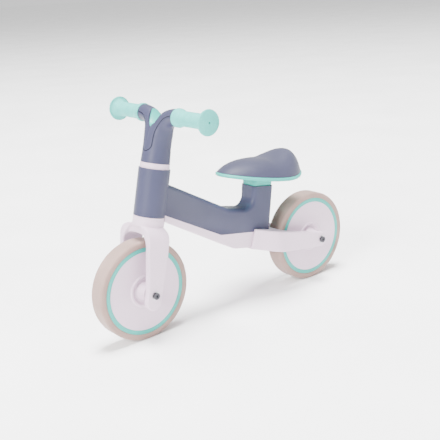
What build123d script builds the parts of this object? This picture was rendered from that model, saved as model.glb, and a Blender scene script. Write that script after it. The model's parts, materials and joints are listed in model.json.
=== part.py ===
from build123d import *
from math import cos, radians, sin, tan
import os

# A toddler's balance bike. +X is forward, +Y is the rider's left, +Z is up.
# The origin is on the ground, midway between the two axles. Millimetres and degrees.

# Wheels
wheel_radius = 95.0
wheel_base = 429.0
tyre_half_width = 18.2
tread_half_width = 13.6
tyre_seat_radius = 74.0
rim_wall = 4.0
rim_face = 16.9            # outer face of the trim ring, from the wheel's middle
ring_outer_radius = 83.4
ring_inner_radius = 75.2
ring_thickness = 2.0
flange_thickness = 2.3
web_thickness = 3.0
web_dish = 2.2             # how far the disc sinks below the trim ring at its middle
hub_step_radius = 20.0
hub_step_height = 2.6
hub_cone_radius = 17.0
hub_top_radius = 13.0
hub_end = 31.0
hub_wall_radius = 14.5
hub_bore_radius = 9.0
disc_screw_count = 5
disc_screw_circle = 50.0
disc_post_radius = 5.0
disc_screw_radius = 1.5
disc_screw_head_radius = 3.0
disc_screw_head_height = 2.0

# Axles and bearings
bearing_outer_radius = 11.0
bearing_bore_radius = 4.0
bearing_width = 7.0
bearing_ring_wall = 1.6
bearing_ball_count = 7
bearing_setback = 0.3      # the bearing's outer face lies this far inside the hub's end
axle_clearance = 0.05
axle_sleeve_radius = 6.0
axle_spacer_radius = 7.5
axle_bolt_radius = 3.0
axle_engagement = 22.0     # how far the bolt screws into the barrel
washer_radius = 8.0
washer_thickness = 1.2
bolt_head_radius = 6.5
bolt_head_height = 3.3
hex_socket_flats = 5.0
hex_socket_depth = 2.2

# Steering axis
rake = 13.43               # from the vertical, leaning back
steering_limit = 45.0
steerer_radius = 14.0
steerer_wall = 2.5
steerer_bottom = 116.0     # distances along the steering axis, from the front axle
steerer_top = 280.0
neck_bottom = 121.0
head_bottom = 138.8
head_top = 226.2
head_ring_height = 9.9
bar_centre = 322.2
head_bottom_radius = 29.3
head_top_radius = 27.2
head_bore_radius = 17.5
bush_outer_radius = 20.0
bush_length = 18.0
bush_flange_radius = 21.5
bush_flange_thickness = 2.0
head_ring_bore = 16.0
running_gap = 0.3
stop_radius = 25.5         # middle of the ring that the steering stop runs in
stop_width = 3.0
stop_height = 4.0
stop_span = 16.0           # degrees of the lug
stop_slack = 1.5           # degrees left at each end of the stop's slot
steerer_bolt_radius = 4.0
steerer_bolt_head_radius = 6.5
steerer_bolt_head_height = 5.0
steerer_nut_flats = 13.0
steerer_nut_height = 6.5

# Fork
leg_outer = 49.5
leg_thickness = 12.5
leg_half_width = 15.5
leg_tip = 29.0             # the leg's end below the axle
leg_top_front = 27.0
leg_top_rear = 17.0
leg_top_level = 110.0
arch_level = 103.5
arch_half_width = 34.0
fork_boss_radius = 12.0

# Stem, arms and grips
stem_bottom_radius = 25.6
stem_top_radius = 22.0
stem_shoulder = 297.0
arm_radius = 15.2
arm_root_offset = 7.0
arm_root_length = 15.0     # straight part of the arm inside the column
grip_inner = 52.5
grip_outer = 141.75
grip_flange_radius = 17.0
grip_flange_place = 5.0    # from the grip's inner end
grip_waist_start = 20.0
grip_waist_radius = 13.6
grip_end_radius = 22.8
grip_flare = 14.0
grip_end_thickness = 5.0
peg_radius = 9.5
peg_length = 80.0
cover_half_width = 13.5
cover_bottom = 257.0
cover_step = 283.0         # where the cover changes from one depth to the other
cover_start = 9.5          # on the arms, the cover lies in front of this distance
cover_column_start = 15.5  # and on the column in front of this one
insert_level = 311.0
insert_bottom = 297.0
insert_half_depth = 10.0
insert_half_width = 24.0
insert_rim = 9.0
insert_rim_rise = 8.0

# Main beam and seat tube, given on the bike's middle plane
beam_half_width = 22.0
beam_wall = 3.0
beam_edge = 9.0
beam_low_edge = 3.0
beam_top_slope = 29.5      # degrees, from the head tube down to the flat
beam_top_corner = (10.0, 207.0)
beam_flat_slope = 12.5
beam_corner_radius = 20.0
joint_corner = (35.0, 160.0)   # where the line between slate and white bends
joint_front_slope = 28.5
joint_rear_slope = 9.5
under_corner = (2.0, 122.5)    # where the beam's lower edge bends
under_front_slope = 30.5
under_rear_slope = 11.0
under_corner_radius = 45.0
seat_tube_lean = 8.5
seat_tube_front = 27.0     # from the seat tube's axis
seat_tube_rear = 26.0
seat_tube_level = 229.0    # height where the axis position is given
seat_tube_axis_x = -81.5
seat_tube_top = 237.0
screw_radius = 1.8
screw_head_radius = 3.6
screw_head_height = 2.4
screw_length = 18.0
screw_pad_radius = 6.5
screw_pad_height = 6.0     # from the beam's outer face to the top of the pad
boss_radius = 5.0
boss_reach = 80.0          # past the beam's roof, where the beam's outside cuts it
tube_floor_level = 150.0
beam_screw_places = (115.0, 55.0)   # along X
yoke_screw_places = (-62.0, -78.0)

# Rear fork
arm_outer = 49.5
arm_thickness = 12.5
arm_end_radius = 16.0
yoke_front_half_width = 27.5
yoke_front_top = (-50.0, 152.5)
yoke_front_bottom = (-38.0, 112.0)
yoke_low = (-107.0, 93.0)
yoke_full_width_x = -104.0
yoke_floor = 1.5           # between the beam and the screw heads
slot_rounding = 26.0
wheel_gap = 8.0            # between the tyre and the yoke

# Seat
seat_pitch = 8.0           # nose up
seat_front = 13.0
seat_rear = -184.0
seat_widest_x = -106.0
seat_half_width = 66.0
seat_nose_half_width = 34.0
seat_roundness = 0.56      # of the rear end, as the reach of its curve's handles
seat_plane_x = -80.0
seat_plane_z = 252.0       # underside of the tray at seat_plane_x
tray_thickness = 8.0
tray_edge = 3.5
board_inset = 9.0
board_thickness = 5.0
cushion_inset = 2.5
cushion_level = 297.0
crown_reach = 0.66
crown_shift = 12.0         # the crown's middle lies this far behind the seat's
seat_screw_places = ((45.0, 16.0), (45.0, -16.0), (-62.0, 34.0), (-62.0, -34.0))
neck_inset = 2.0
neck_gap = 1.5
post_clearance = 0.3
post_length = 78.0
seat_travel = 30.0
clamp_bolt_radius = 3.0
clamp_head_radius = 5.5
clamp_nut_flats = 10.0
clamp_nut_height = 5.0
clamp_bolt_depth = 22.0    # below the seat tube's top

os.makedirs("parts", exist_ok=True)

front_axle = Vector(wheel_base / 2, 0, wheel_radius)
rear_axle = Vector(-wheel_base / 2, 0, wheel_radius)
steer_forward = Vector(cos(radians(rake)), 0, sin(radians(rake)))
steer_up = Vector(-sin(radians(rake)), 0, cos(radians(rake)))
steer = Plane(origin=front_axle, x_dir=steer_forward, z_dir=steer_up)
steer_side = Plane(origin=front_axle, x_dir=steer_forward, z_dir=(0, -1, 0))
steer_front = Plane(origin=front_axle, x_dir=(0, 1, 0), z_dir=steer_forward)


def save(piece, name):
    piece.part.label = name
    export_step(piece.part, f"parts/{name}.step")


def seat_tube_x(level):
    return seat_tube_axis_x + (seat_tube_level - level) * tan(radians(seat_tube_lean))


# ---- Wheels, one set of pieces for each end ----

hub_face = rim_face - web_dish
bearing_outer_face = hub_end - bearing_setback
bearing_inner_face = bearing_outer_face - bearing_width
fork_boss_face = bearing_outer_face + washer_thickness + running_gap
leg_inner = leg_outer - leg_thickness
ball_radius = (bearing_outer_radius - bearing_bore_radius) / 2 - bearing_ring_wall - running_gap
ball_circle = (bearing_outer_radius + bearing_bore_radius) / 2
ring_floor = rim_face - ring_thickness
flange_inner = ring_floor - flange_thickness


def ring(axle, inner, outer, start, end, mode=Mode.ADD):
    """A ring about an axle, between two distances along Y, for the part being built."""
    with BuildSketch(Plane(origin=axle, x_dir=(0, 1, 0), z_dir=(1, 0, 0))) as profile:
        with Locations(((start + end) / 2, (inner + outer) / 2)):
            Rectangle(abs(end - start), outer - inner)
    revolve(profile.sketch, axis=Axis(axle, (0, 1, 0)), mode=mode)


def collar(inner, outer, bottom, top, mode=Mode.ADD):
    """A ring about the steering axis, between two distances along it."""
    with BuildSketch(steer.offset(bottom)) as profile:
        Circle(outer)
        if inner > 0:
            Circle(inner, mode=Mode.SUBTRACT)
    extrude(profile.sketch, amount=top - bottom, mode=mode)


def stop_sector(width, half_angle, bottom, top, mode=Mode.ADD):
    """Part of a ring in front of the steering axis, for the steering stop and its slot."""
    reach = 2 * stop_radius
    edge = [(0, 0)]
    for share in (-1, -0.5, 0, 0.5, 1):
        angle = radians(share * half_angle)
        edge.append((reach * cos(angle), reach * sin(angle)))
    with BuildSketch(steer.offset(bottom)) as sector:
        Circle(stop_radius + width / 2)
        Circle(stop_radius - width / 2, mode=Mode.SUBTRACT)
        with BuildSketch(mode=Mode.INTERSECT):
            with BuildLine():
                Polyline(*edge, close=True)
            make_face()
    extrude(sector.sketch, amount=top - bottom, mode=mode)


def make_wheel(end, axle):
    """Every piece that turns with one wheel."""
    section = Plane(origin=axle, x_dir=(0, 1, 0), z_dir=(1, 0, 0))
    spin = Axis(axle, (0, 1, 0))
    with BuildPart() as tyre:
        with BuildSketch(section):
            with BuildLine():
                Polyline(
                    (-flange_inner, tyre_seat_radius),
                    (flange_inner, tyre_seat_radius),
                    (flange_inner, ring_outer_radius),
                    (rim_face, ring_outer_radius),
                )
                Spline(
                    (rim_face, ring_outer_radius),
                    (tyre_half_width, wheel_radius - 6),
                    (tread_half_width, wheel_radius),
                    tangents=[(1, 1), (-1, 0.1)],
                )
                Line((tread_half_width, wheel_radius), (-tread_half_width, wheel_radius))
                Spline(
                    (-tread_half_width, wheel_radius),
                    (-tyre_half_width, wheel_radius - 6),
                    (-rim_face, ring_outer_radius),
                    tangents=[(-1, -0.1), (1, -1)],
                )
                Polyline(
                    (-rim_face, ring_outer_radius),
                    (-flange_inner, ring_outer_radius),
                    (-flange_inner, tyre_seat_radius),
                )
            make_face()
        revolve(axis=spin)
    save(tyre, f"{end}_tyre")

    for side, way in (("left", 1), ("right", -1)):
        with BuildPart() as disc:
            with BuildSketch(section):
                with BuildLine():
                    Polyline(
                        (0, tyre_seat_radius),
                        (way * flange_inner, tyre_seat_radius),
                        (way * flange_inner, ring_outer_radius),
                        (way * ring_floor, ring_outer_radius),
                        (way * ring_floor, ring_inner_radius),
                        (way * rim_face, ring_inner_radius),
                        (way * hub_face, hub_step_radius + hub_step_height),
                        (way * (hub_face + hub_step_height), hub_step_radius),
                        (way * (hub_face + hub_step_height), hub_cone_radius),
                        (way * hub_end, hub_top_radius),
                        (way * hub_end, bearing_outer_radius),
                        (way * bearing_inner_face, bearing_outer_radius),
                        (way * bearing_inner_face, hub_bore_radius),
                        (0, hub_bore_radius),
                        (0, hub_wall_radius),
                        (way * (hub_face - web_thickness), hub_wall_radius),
                        (way * (flange_inner - web_thickness), tyre_seat_radius - rim_wall),
                        (0, tyre_seat_radius - rim_wall),
                        close=True,
                    )
                make_face()
            revolve(axis=spin)
            post_plane = Plane(origin=axle, x_dir=(1, 0, 0), z_dir=(0, way, 0))
            with BuildSketch(post_plane):
                with PolarLocations(disc_screw_circle, disc_screw_count):
                    Circle(disc_post_radius)
            extrude(amount=hub_face - web_thickness / 2)
            with BuildSketch(post_plane):
                with PolarLocations(disc_screw_circle, disc_screw_count):
                    Circle(disc_screw_radius)
            extrude(amount=disc_hole_depth[side], mode=Mode.SUBTRACT)
            if side == "right":
                with BuildSketch(post_plane.offset(disc_head_level)):
                    with PolarLocations(disc_screw_circle, disc_screw_count):
                        Circle(disc_screw_head_radius)
                extrude(amount=rim_face, mode=Mode.SUBTRACT)
        save(disc, f"{end}_{side}_disc")

        with BuildPart() as trim:
            ring(axle, ring_inner_radius, ring_outer_radius, way * ring_floor, way * rim_face)
        save(trim, f"{end}_{side}_ring")

    with BuildPart() as disc_screws:
        screw_plane = Plane(origin=axle, x_dir=(1, 0, 0), z_dir=(0, -1, 0))
        with BuildSketch(screw_plane.offset(-disc_screw_reach)):
            with PolarLocations(disc_screw_circle, disc_screw_count):
                Circle(disc_screw_radius)
        extrude(amount=disc_screw_reach + disc_head_level)
        with BuildSketch(screw_plane.offset(disc_head_level)):
            with PolarLocations(disc_screw_circle, disc_screw_count):
                Circle(disc_screw_head_radius)
        extrude(amount=disc_screw_head_height)
    save(disc_screws, f"{end}_disc_screws")

    with BuildPart() as outer_rings:
        inner_wall = bearing_outer_radius - bearing_ring_wall
        for way in (1, -1):
            ring(axle, inner_wall, bearing_outer_radius, way * bearing_inner_face,
                 way * bearing_outer_face)
    save(outer_rings, f"{end}_bearing_outer_rings")

    with BuildPart() as balls:
        for way in (1, -1):
            middle = axle + Vector(0, way * (bearing_inner_face + bearing_width / 2), 0)
            with Locations(Plane(origin=middle, x_dir=(1, 0, 0), z_dir=(0, 1, 0))):
                with PolarLocations(ball_circle, bearing_ball_count):
                    Sphere(ball_radius)
    save(balls, f"{end}_bearing_balls")


def make_axle(end, axle):
    """The pieces that hold one wheel and don't turn with it."""
    with BuildPart() as inner_rings:
        outer_wall = bearing_bore_radius + bearing_ring_wall
        for way in (1, -1):
            ring(axle, bearing_bore_radius, outer_wall, way * bearing_inner_face,
                 way * bearing_outer_face)
    save(inner_rings, f"{end}_bearing_inner_rings")

    with BuildPart() as sleeve:
        ring(axle, bearing_bore_radius, axle_sleeve_radius, -bearing_inner_face,
             bearing_inner_face)
    save(sleeve, f"{end}_axle_sleeve")

    with BuildPart() as spacers:
        for way in (1, -1):
            ring(axle, bearing_bore_radius, axle_spacer_radius, way * bearing_outer_face,
                 way * fork_boss_face)
    save(spacers, f"{end}_axle_spacers")

    with BuildPart() as washers:
        for way in (1, -1):
            ring(axle, bearing_bore_radius, washer_radius, way * leg_outer,
                 way * (leg_outer + washer_thickness))
    save(washers, f"{end}_axle_washers")

    head_start = leg_outer + washer_thickness
    head_end = head_start + bolt_head_height
    barrel_radius = bearing_bore_radius - axle_clearance
    barrel_end = leg_outer - 2
    with BuildPart() as barrel:
        ring(axle, 0, barrel_radius, -head_start, barrel_end)
        ring(axle, 0, bolt_head_radius, -head_end, -head_start)
        ring(axle, 0, axle_bolt_radius, barrel_end - axle_engagement, barrel_end,
             mode=Mode.SUBTRACT)
        with BuildSketch(Plane(origin=axle - Vector(0, head_end, 0), z_dir=(0, 1, 0))):
            RegularPolygon(hex_socket_flats / 2, 6, major_radius=False)
        extrude(amount=hex_socket_depth, mode=Mode.SUBTRACT)
    save(barrel, f"{end}_axle_barrel")

    with BuildPart() as bolt:
        ring(axle, 0, axle_bolt_radius, barrel_end - axle_engagement + 1, head_start)
        ring(axle, 0, bolt_head_radius, head_start, head_end)
        with BuildSketch(Plane(origin=axle + Vector(0, head_end, 0), z_dir=(0, -1, 0))):
            RegularPolygon(hex_socket_flats / 2, 6, major_radius=False)
        extrude(amount=hex_socket_depth, mode=Mode.SUBTRACT)
    save(bolt, f"{end}_axle_bolt")


disc_screw_reach = flange_inner - 1
disc_hole_depth = {"left": disc_screw_reach, "right": rim_face}
disc_head_level = hub_face - web_thickness / 2 - 0.5

for end, axle in (("front", front_axle), ("rear", rear_axle)):
    make_wheel(end, axle)
    make_axle(end, axle)

# ---- Fork ----

with BuildPart() as fork:
    # The legs and the crown are the part that the side view and the front view share.
    with BuildSketch(steer_side):
        with BuildLine():
            Line((leg_half_width, leg_half_width - leg_tip), (leg_half_width, 0))
            Spline(
                (leg_half_width, 0),
                (leg_top_front - 5, leg_top_level / 2),
                (leg_top_front, leg_top_level),
                tangents=[(0.08, 1), (0, 1)],
            )
            Line((leg_top_front, leg_top_level), (leg_top_front, neck_bottom + 1))
            Line((leg_top_front, neck_bottom + 1), (-leg_top_rear, neck_bottom + 1))
            Line((-leg_top_rear, neck_bottom + 1), (-leg_top_rear, leg_top_level))
            Spline(
                (-leg_top_rear, leg_top_level),
                (-leg_half_width - 3, leg_top_level / 2),
                (-leg_half_width, 0),
                tangents=[(0, -1), (0.1, -1)],
            )
            Line((-leg_half_width, 0), (-leg_half_width, leg_half_width - leg_tip))
            ThreePointArc(
                (-leg_half_width, leg_half_width - leg_tip),
                (0, -leg_tip),
                (leg_half_width, leg_half_width - leg_tip),
            )
        make_face()
    extrude(amount=leg_outer, both=True)
    with BuildSketch(steer_front):
        with BuildLine():
            Line((-leg_outer, -leg_tip), (-leg_outer, leg_top_level - 8))
            Spline(
                (-leg_outer, leg_top_level - 8),
                (-leg_outer + 9, leg_top_level + 6),
                (-head_bottom_radius + 2, neck_bottom + 1),
                tangents=[(0, 1), (1, 0.7)],
            )
            Line((-head_bottom_radius + 2, neck_bottom + 1),
                 (head_bottom_radius - 2, neck_bottom + 1))
            Spline(
                (head_bottom_radius - 2, neck_bottom + 1),
                (leg_outer - 9, leg_top_level + 6),
                (leg_outer, leg_top_level - 8),
                tangents=[(1, -0.7), (0, -1)],
            )
            Line((leg_outer, leg_top_level - 8), (leg_outer, -leg_tip))
            Line((leg_outer, -leg_tip), (leg_inner, -leg_tip))
            Line((leg_inner, -leg_tip), (leg_inner, arch_level - arch_half_width / 2))
            Spline(
                (leg_inner, arch_level - arch_half_width / 2),
                (0, arch_level),
                (-leg_inner, arch_level - arch_half_width / 2),
                tangents=[(-0.12, 1), (-0.12, -1)],
            )
            Line((-leg_inner, arch_level - arch_half_width / 2), (-leg_inner, -leg_tip))
            Line((-leg_inner, -leg_tip), (-leg_outer, -leg_tip))
        make_face()
    extrude(amount=leg_top_front + leg_half_width + 5, both=True, mode=Mode.INTERSECT)
    collar(0, head_bottom_radius - 1, neck_bottom - 6, head_bottom - running_gap)
    for way in (1, -1):
        ring(front_axle, 0, fork_boss_radius, way * fork_boss_face, way * (leg_inner + 1))
    ring(front_axle, 0, bearing_bore_radius, -leg_outer, leg_outer, mode=Mode.SUBTRACT)
    collar(0, steerer_radius, steerer_bottom, head_bottom, mode=Mode.SUBTRACT)
    collar(0, steerer_bolt_radius + 0.2, arch_level - 8, steerer_bottom, mode=Mode.SUBTRACT)
    collar(0, steerer_bolt_head_radius + 0.5, arch_level - 8,
           arch_level + steerer_bolt_head_height, mode=Mode.SUBTRACT)
    stop_sector(stop_width, stop_span / 2, neck_bottom, head_bottom - running_gap + stop_height)
save(fork, "fork")

# ---- Steering column ----

stem_bottom = head_top + head_ring_height + running_gap
nut_floor = steerer_top + 6
with BuildPart() as steerer:
    collar(steerer_radius - steerer_wall, steerer_radius, steerer_bottom, steerer_top)
save(steerer, "steerer_tube")

with BuildPart() as steerer_bolt:
    head_level = arch_level + steerer_bolt_head_height
    collar(0, steerer_bolt_head_radius, arch_level, head_level)
    collar(0, steerer_bolt_radius, head_level, nut_floor + steerer_nut_height + 2)
    with BuildSketch(steer.offset(arch_level)):
        RegularPolygon(hex_socket_flats / 2, 6, major_radius=False)
    extrude(amount=hex_socket_depth, mode=Mode.SUBTRACT)
save(steerer_bolt, "steerer_bolt")

with BuildPart() as steerer_nut:
    with BuildSketch(steer.offset(nut_floor)):
        RegularPolygon(steerer_nut_flats / 2, 6, major_radius=False)
        Circle(steerer_bolt_radius, mode=Mode.SUBTRACT)
    extrude(amount=steerer_nut_height)
save(steerer_nut, "steerer_nut")

with BuildPart() as lower_bush:
    collar(steerer_radius + axle_clearance, bush_outer_radius, head_bottom,
           head_bottom + bush_length)
    collar(steerer_radius + axle_clearance, bush_flange_radius, head_bottom,
           head_bottom + bush_flange_thickness)
save(lower_bush, "lower_steering_bush")

with BuildPart() as upper_bush:
    collar(steerer_radius + axle_clearance, bush_outer_radius, head_top - bush_length, head_top)
    collar(steerer_radius + axle_clearance, bush_flange_radius,
           head_top - bush_flange_thickness, head_top)
save(upper_bush, "upper_steering_bush")

with BuildPart() as head_ring:
    collar(head_ring_bore, head_top_radius, head_top, head_top + head_ring_height)
save(head_ring, "head_ring")

# ---- Stem: a column that divides into two arms, then cut into stem and front cover ----

bar_middle = front_axle + steer_up * bar_centre
grip_bore = peg_radius + axle_clearance
arm_curve = grip_inner - arm_root_offset
with BuildPart() as stem_body:
    with BuildSketch(steer.offset(stem_bottom)):
        Circle(stem_bottom_radius)
    with BuildSketch(steer.offset(stem_shoulder)):
        Circle(stem_top_radius)
    loft()
    for way in (1, -1):
        root = bar_middle - steer_up * arm_curve + Vector(0, way * arm_root_offset, 0)
        pivot = root + Vector(0, way * arm_curve, 0)
        with BuildSketch(Plane(origin=root, x_dir=(0, 1, 0), z_dir=steer_up)) as arm_face:
            Circle(arm_radius)
        extrude(arm_face.sketch, amount=-arm_root_length)
        revolve(arm_face.sketch, axis=Axis(pivot, steer_forward * -way), revolution_arc=90)

with BuildPart() as insert:
    rim = bar_centre + insert_rim_rise
    with BuildSketch(steer_front):
        with BuildLine():
            ThreePointArc((-insert_half_width, rim), (0, insert_level), (insert_half_width, rim))
            Line((insert_half_width, rim), (insert_half_width, rim - insert_rim))
            ThreePointArc(
                (insert_half_width, rim - insert_rim),
                (0, insert_bottom),
                (-insert_half_width, rim - insert_rim),
            )
            Line((-insert_half_width, rim - insert_rim), (-insert_half_width, rim))
        make_face()
    extrude(amount=insert_half_depth, both=True)
save(insert, "crotch_insert")

with BuildPart() as cover_space:
    with BuildSketch(steer_front.offset(cover_start)) as outline:
        with BuildLine():
            Spline(
                (cover_half_width, cover_bottom + cover_half_width),
                (cover_half_width + 3, stem_shoulder + 4),
                (grip_inner, bar_centre + 1),
                tangents=[(0, 1), (1, 0)],
            )
            Polyline(
                (grip_inner, bar_centre + 1),
                (grip_inner, bar_centre + 2 * arm_radius),
                (-grip_inner, bar_centre + 2 * arm_radius),
                (-grip_inner, bar_centre + 1),
            )
            Spline(
                (-grip_inner, bar_centre + 1),
                (-cover_half_width - 3, stem_shoulder + 4),
                (-cover_half_width, cover_bottom + cover_half_width),
                tangents=[(1, 0), (0, -1)],
            )
            ThreePointArc(
                (-cover_half_width, cover_bottom + cover_half_width),
                (0, cover_bottom),
                (cover_half_width, cover_bottom + cover_half_width),
            )
        make_face()
    extrude(amount=stem_bottom_radius)
    with BuildSketch(steer_front) as column:
        with Locations((0, cover_step / 2)):
            Rectangle(2 * stem_bottom_radius, cover_step)
    extrude(column.sketch, amount=cover_column_start, mode=Mode.SUBTRACT)

with BuildPart() as cover:
    add(stem_body.part)
    add(cover_space.part, mode=Mode.INTERSECT)
    add(insert.part, mode=Mode.SUBTRACT)
save(cover, "stem_cover")

with BuildPart() as stem:
    add(stem_body.part)
    add(cover_space.part, mode=Mode.SUBTRACT)
    add(insert.part, mode=Mode.SUBTRACT)
    for way in (1, -1):
        with BuildSketch(Plane(origin=bar_middle, x_dir=(1, 0, 0), z_dir=(0, way, 0))
                         .offset(grip_inner - 1)) as peg_face:
            Circle(peg_radius)
        extrude(peg_face.sketch, amount=peg_length)
    collar(0, steerer_radius, stem_bottom, steerer_top, mode=Mode.SUBTRACT)
    collar(0, steerer_bolt_radius + 0.2, steerer_top, nut_floor, mode=Mode.SUBTRACT)
    collar(0, steerer_nut_flats / 2 + 1.5, nut_floor, nut_floor + steerer_nut_height + 3,
           mode=Mode.SUBTRACT)
save(stem, "handlebar_stem")

for side, way in (("left", 1), ("right", -1)):
    with BuildPart() as grip:
        flare_start = grip_outer - grip_end_thickness
        with BuildSketch(Plane(origin=bar_middle, x_dir=(0, way, 0), z_dir=(way, 0, 0))):
            with BuildLine():
                Line((grip_inner, grip_bore), (grip_inner, arm_radius))
                Spline(
                    (grip_inner, arm_radius),
                    (grip_inner + grip_flange_place, grip_flange_radius),
                    (grip_inner + grip_waist_start, grip_waist_radius),
                    tangents=[(0, 1), (1, 0)],
                )
                Line((grip_inner + grip_waist_start, grip_waist_radius),
                     (flare_start - grip_flare, grip_waist_radius))
                Spline(
                    (flare_start - grip_flare, grip_waist_radius),
                    (flare_start, grip_end_radius),
                    tangents=[(1, 0), (0.3, 1)],
                )
                Line((flare_start, grip_end_radius), (grip_outer - 1.5, grip_end_radius - 1))
                Line((grip_outer - 1.5, grip_end_radius - 1), (grip_outer, 0))
                Polyline(
                    (grip_outer, 0),
                    (grip_inner + peg_length, 0),
                    (grip_inner + peg_length, grip_bore),
                    (grip_inner, grip_bore),
                )
            make_face()
        revolve(axis=Axis(bar_middle, (0, 1, 0)))
    save(grip, f"{side}_grip")

# ---- Main beam and seat tube ----


def line_through(point, slope, x):
    """Height at x of a line through a point, rising forwards at a slope in degrees."""
    return point[1] + (x - point[0]) * tan(radians(slope))


def seat_tube_edge(offset, level):
    """A point on the seat tube's front or rear line, at a distance along its axis."""
    middle_x = seat_tube_x(seat_tube_top)
    lean = radians(seat_tube_lean)
    drop = seat_tube_top - level
    return (
        middle_x + offset * cos(lean) + drop * sin(lean),
        seat_tube_top + offset * sin(lean) - drop * cos(lean),
    )


beam_front = wheel_base / 2 - head_bottom * sin(radians(rake)) - 8
tube_rear_top = seat_tube_edge(-seat_tube_rear, seat_tube_top)
lean_sine, lean_cosine = sin(radians(seat_tube_lean)), cos(radians(seat_tube_lean))
tube_rear_length = (
    (tube_rear_top[1] - line_through(under_corner, under_rear_slope, tube_rear_top[0]))
    / (lean_cosine + lean_sine * tan(radians(under_rear_slope)))
)
tube_bottom = (
    tube_rear_top[0] + tube_rear_length * lean_sine,
    tube_rear_top[1] - tube_rear_length * lean_cosine,
)
flat_end_x = seat_tube_x(beam_top_corner[1]) + seat_tube_front
flat_end = (flat_end_x, line_through(beam_top_corner, beam_flat_slope, flat_end_x))


def beam_side(inset):
    """The side view of the beam with the seat tube, drawn on the middle plane."""
    with BuildSketch(Plane.XZ) as side:
        with BuildLine() as outline:
            Polyline(
                (beam_front, line_through(under_corner, under_front_slope, beam_front)),
                (beam_front, line_through(beam_top_corner, beam_top_slope, beam_front)),
                beam_top_corner,
                flat_end,
                seat_tube_edge(seat_tube_front, seat_tube_top),
                tube_rear_top,
                tube_bottom,
                under_corner,
                close=True,
            )
        make_face()
        fillet(side.vertices().sort_by_distance(flat_end)[0], beam_corner_radius)
        fillet(side.vertices().sort_by_distance(under_corner)[0], under_corner_radius)
        if inset > 0:
            offset(amount=-inset, kind=Kind.INTERSECTION, mode=Mode.REPLACE)
    return side.sketch


def joint_half(above):
    """The space above or below the line where the slate shell meets the white cover."""
    far_front = wheel_base / 2
    far_rear = -wheel_base / 2
    limit = bar_centre + wheel_radius if above else 0
    with BuildSketch(Plane.XZ) as half:
        with BuildLine():
            Polyline(
                (far_front, line_through(joint_corner, joint_front_slope, far_front)),
                joint_corner,
                (far_rear, line_through(joint_corner, joint_rear_slope, far_rear)),
                (far_rear, limit),
                (far_front, limit),
                close=True,
            )
        make_face()
    return half.sketch


def beam_floor(x):
    """Plane on the beam's lower face at x, pointing into the beam."""
    slope = under_front_slope if x > under_corner[0] else under_rear_slope
    turn = radians(slope)
    level = line_through(under_corner, slope, x)
    return Plane(origin=(x, 0, level), x_dir=(cos(turn), 0, sin(turn)),
                 z_dir=(-sin(turn), 0, cos(turn)))


def in_underside(edge):
    """True for the long edges along the beam's lower line."""
    middle = edge.center()
    if middle.X < tube_bottom[0] + 3 or middle.X > beam_front - 3:
        return False
    return middle.Z < line_through(joint_corner, joint_rear_slope, middle.X) - 12 or (
        middle.X > joint_corner[0]
        and middle.Z < line_through(joint_corner, joint_front_slope, middle.X) - 5
    )


with BuildPart() as beam:
    extrude(beam_side(0), amount=beam_half_width, both=True)
    sides = beam.edges().filter_by(lambda edge: abs(edge.center().Y) > beam_half_width - 0.1)
    under_edges = [edge for edge in sides if in_underside(edge)]
    end_edges = [edge for edge in sides if edge.center().X > beam_front - 3
                 or abs(edge.center().Z - seat_tube_top) < 1]
    top_edges = [edge for edge in sides if edge not in under_edges and edge not in end_edges]
    fillet(top_edges, beam_edge)
    sides = beam.edges().filter_by(lambda edge: abs(edge.center().Y) > beam_half_width - 0.1)
    fillet([edge for edge in sides if in_underside(edge)], beam_low_edge)

# Screw bosses hang from the shell's roof and from a floor across the seat tube.
with BuildPart() as bosses:
    for x in beam_screw_places:
        with BuildSketch(beam_floor(x).offset(screw_pad_height)) as boss_foot:
            Circle(boss_radius)
        extrude(boss_foot.sketch, amount=boss_reach)
    for x in yoke_screw_places:
        with BuildSketch(beam_floor(x).offset(screw_pad_height)) as boss_foot:
            Circle(boss_radius)
        extrude(boss_foot.sketch, amount=tube_floor_level - beam_floor(x).origin.Z
                - screw_pad_height + beam_wall)
    with BuildSketch(Plane.XY.offset(tube_floor_level)) as floor_area:
        with Locations((seat_tube_x(tube_floor_level), 0)):
            Rectangle(2 * seat_tube_front + 20, 2 * beam_half_width)
    extrude(floor_area.sketch, amount=beam_wall)
    add(beam.part, mode=Mode.INTERSECT)

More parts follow.
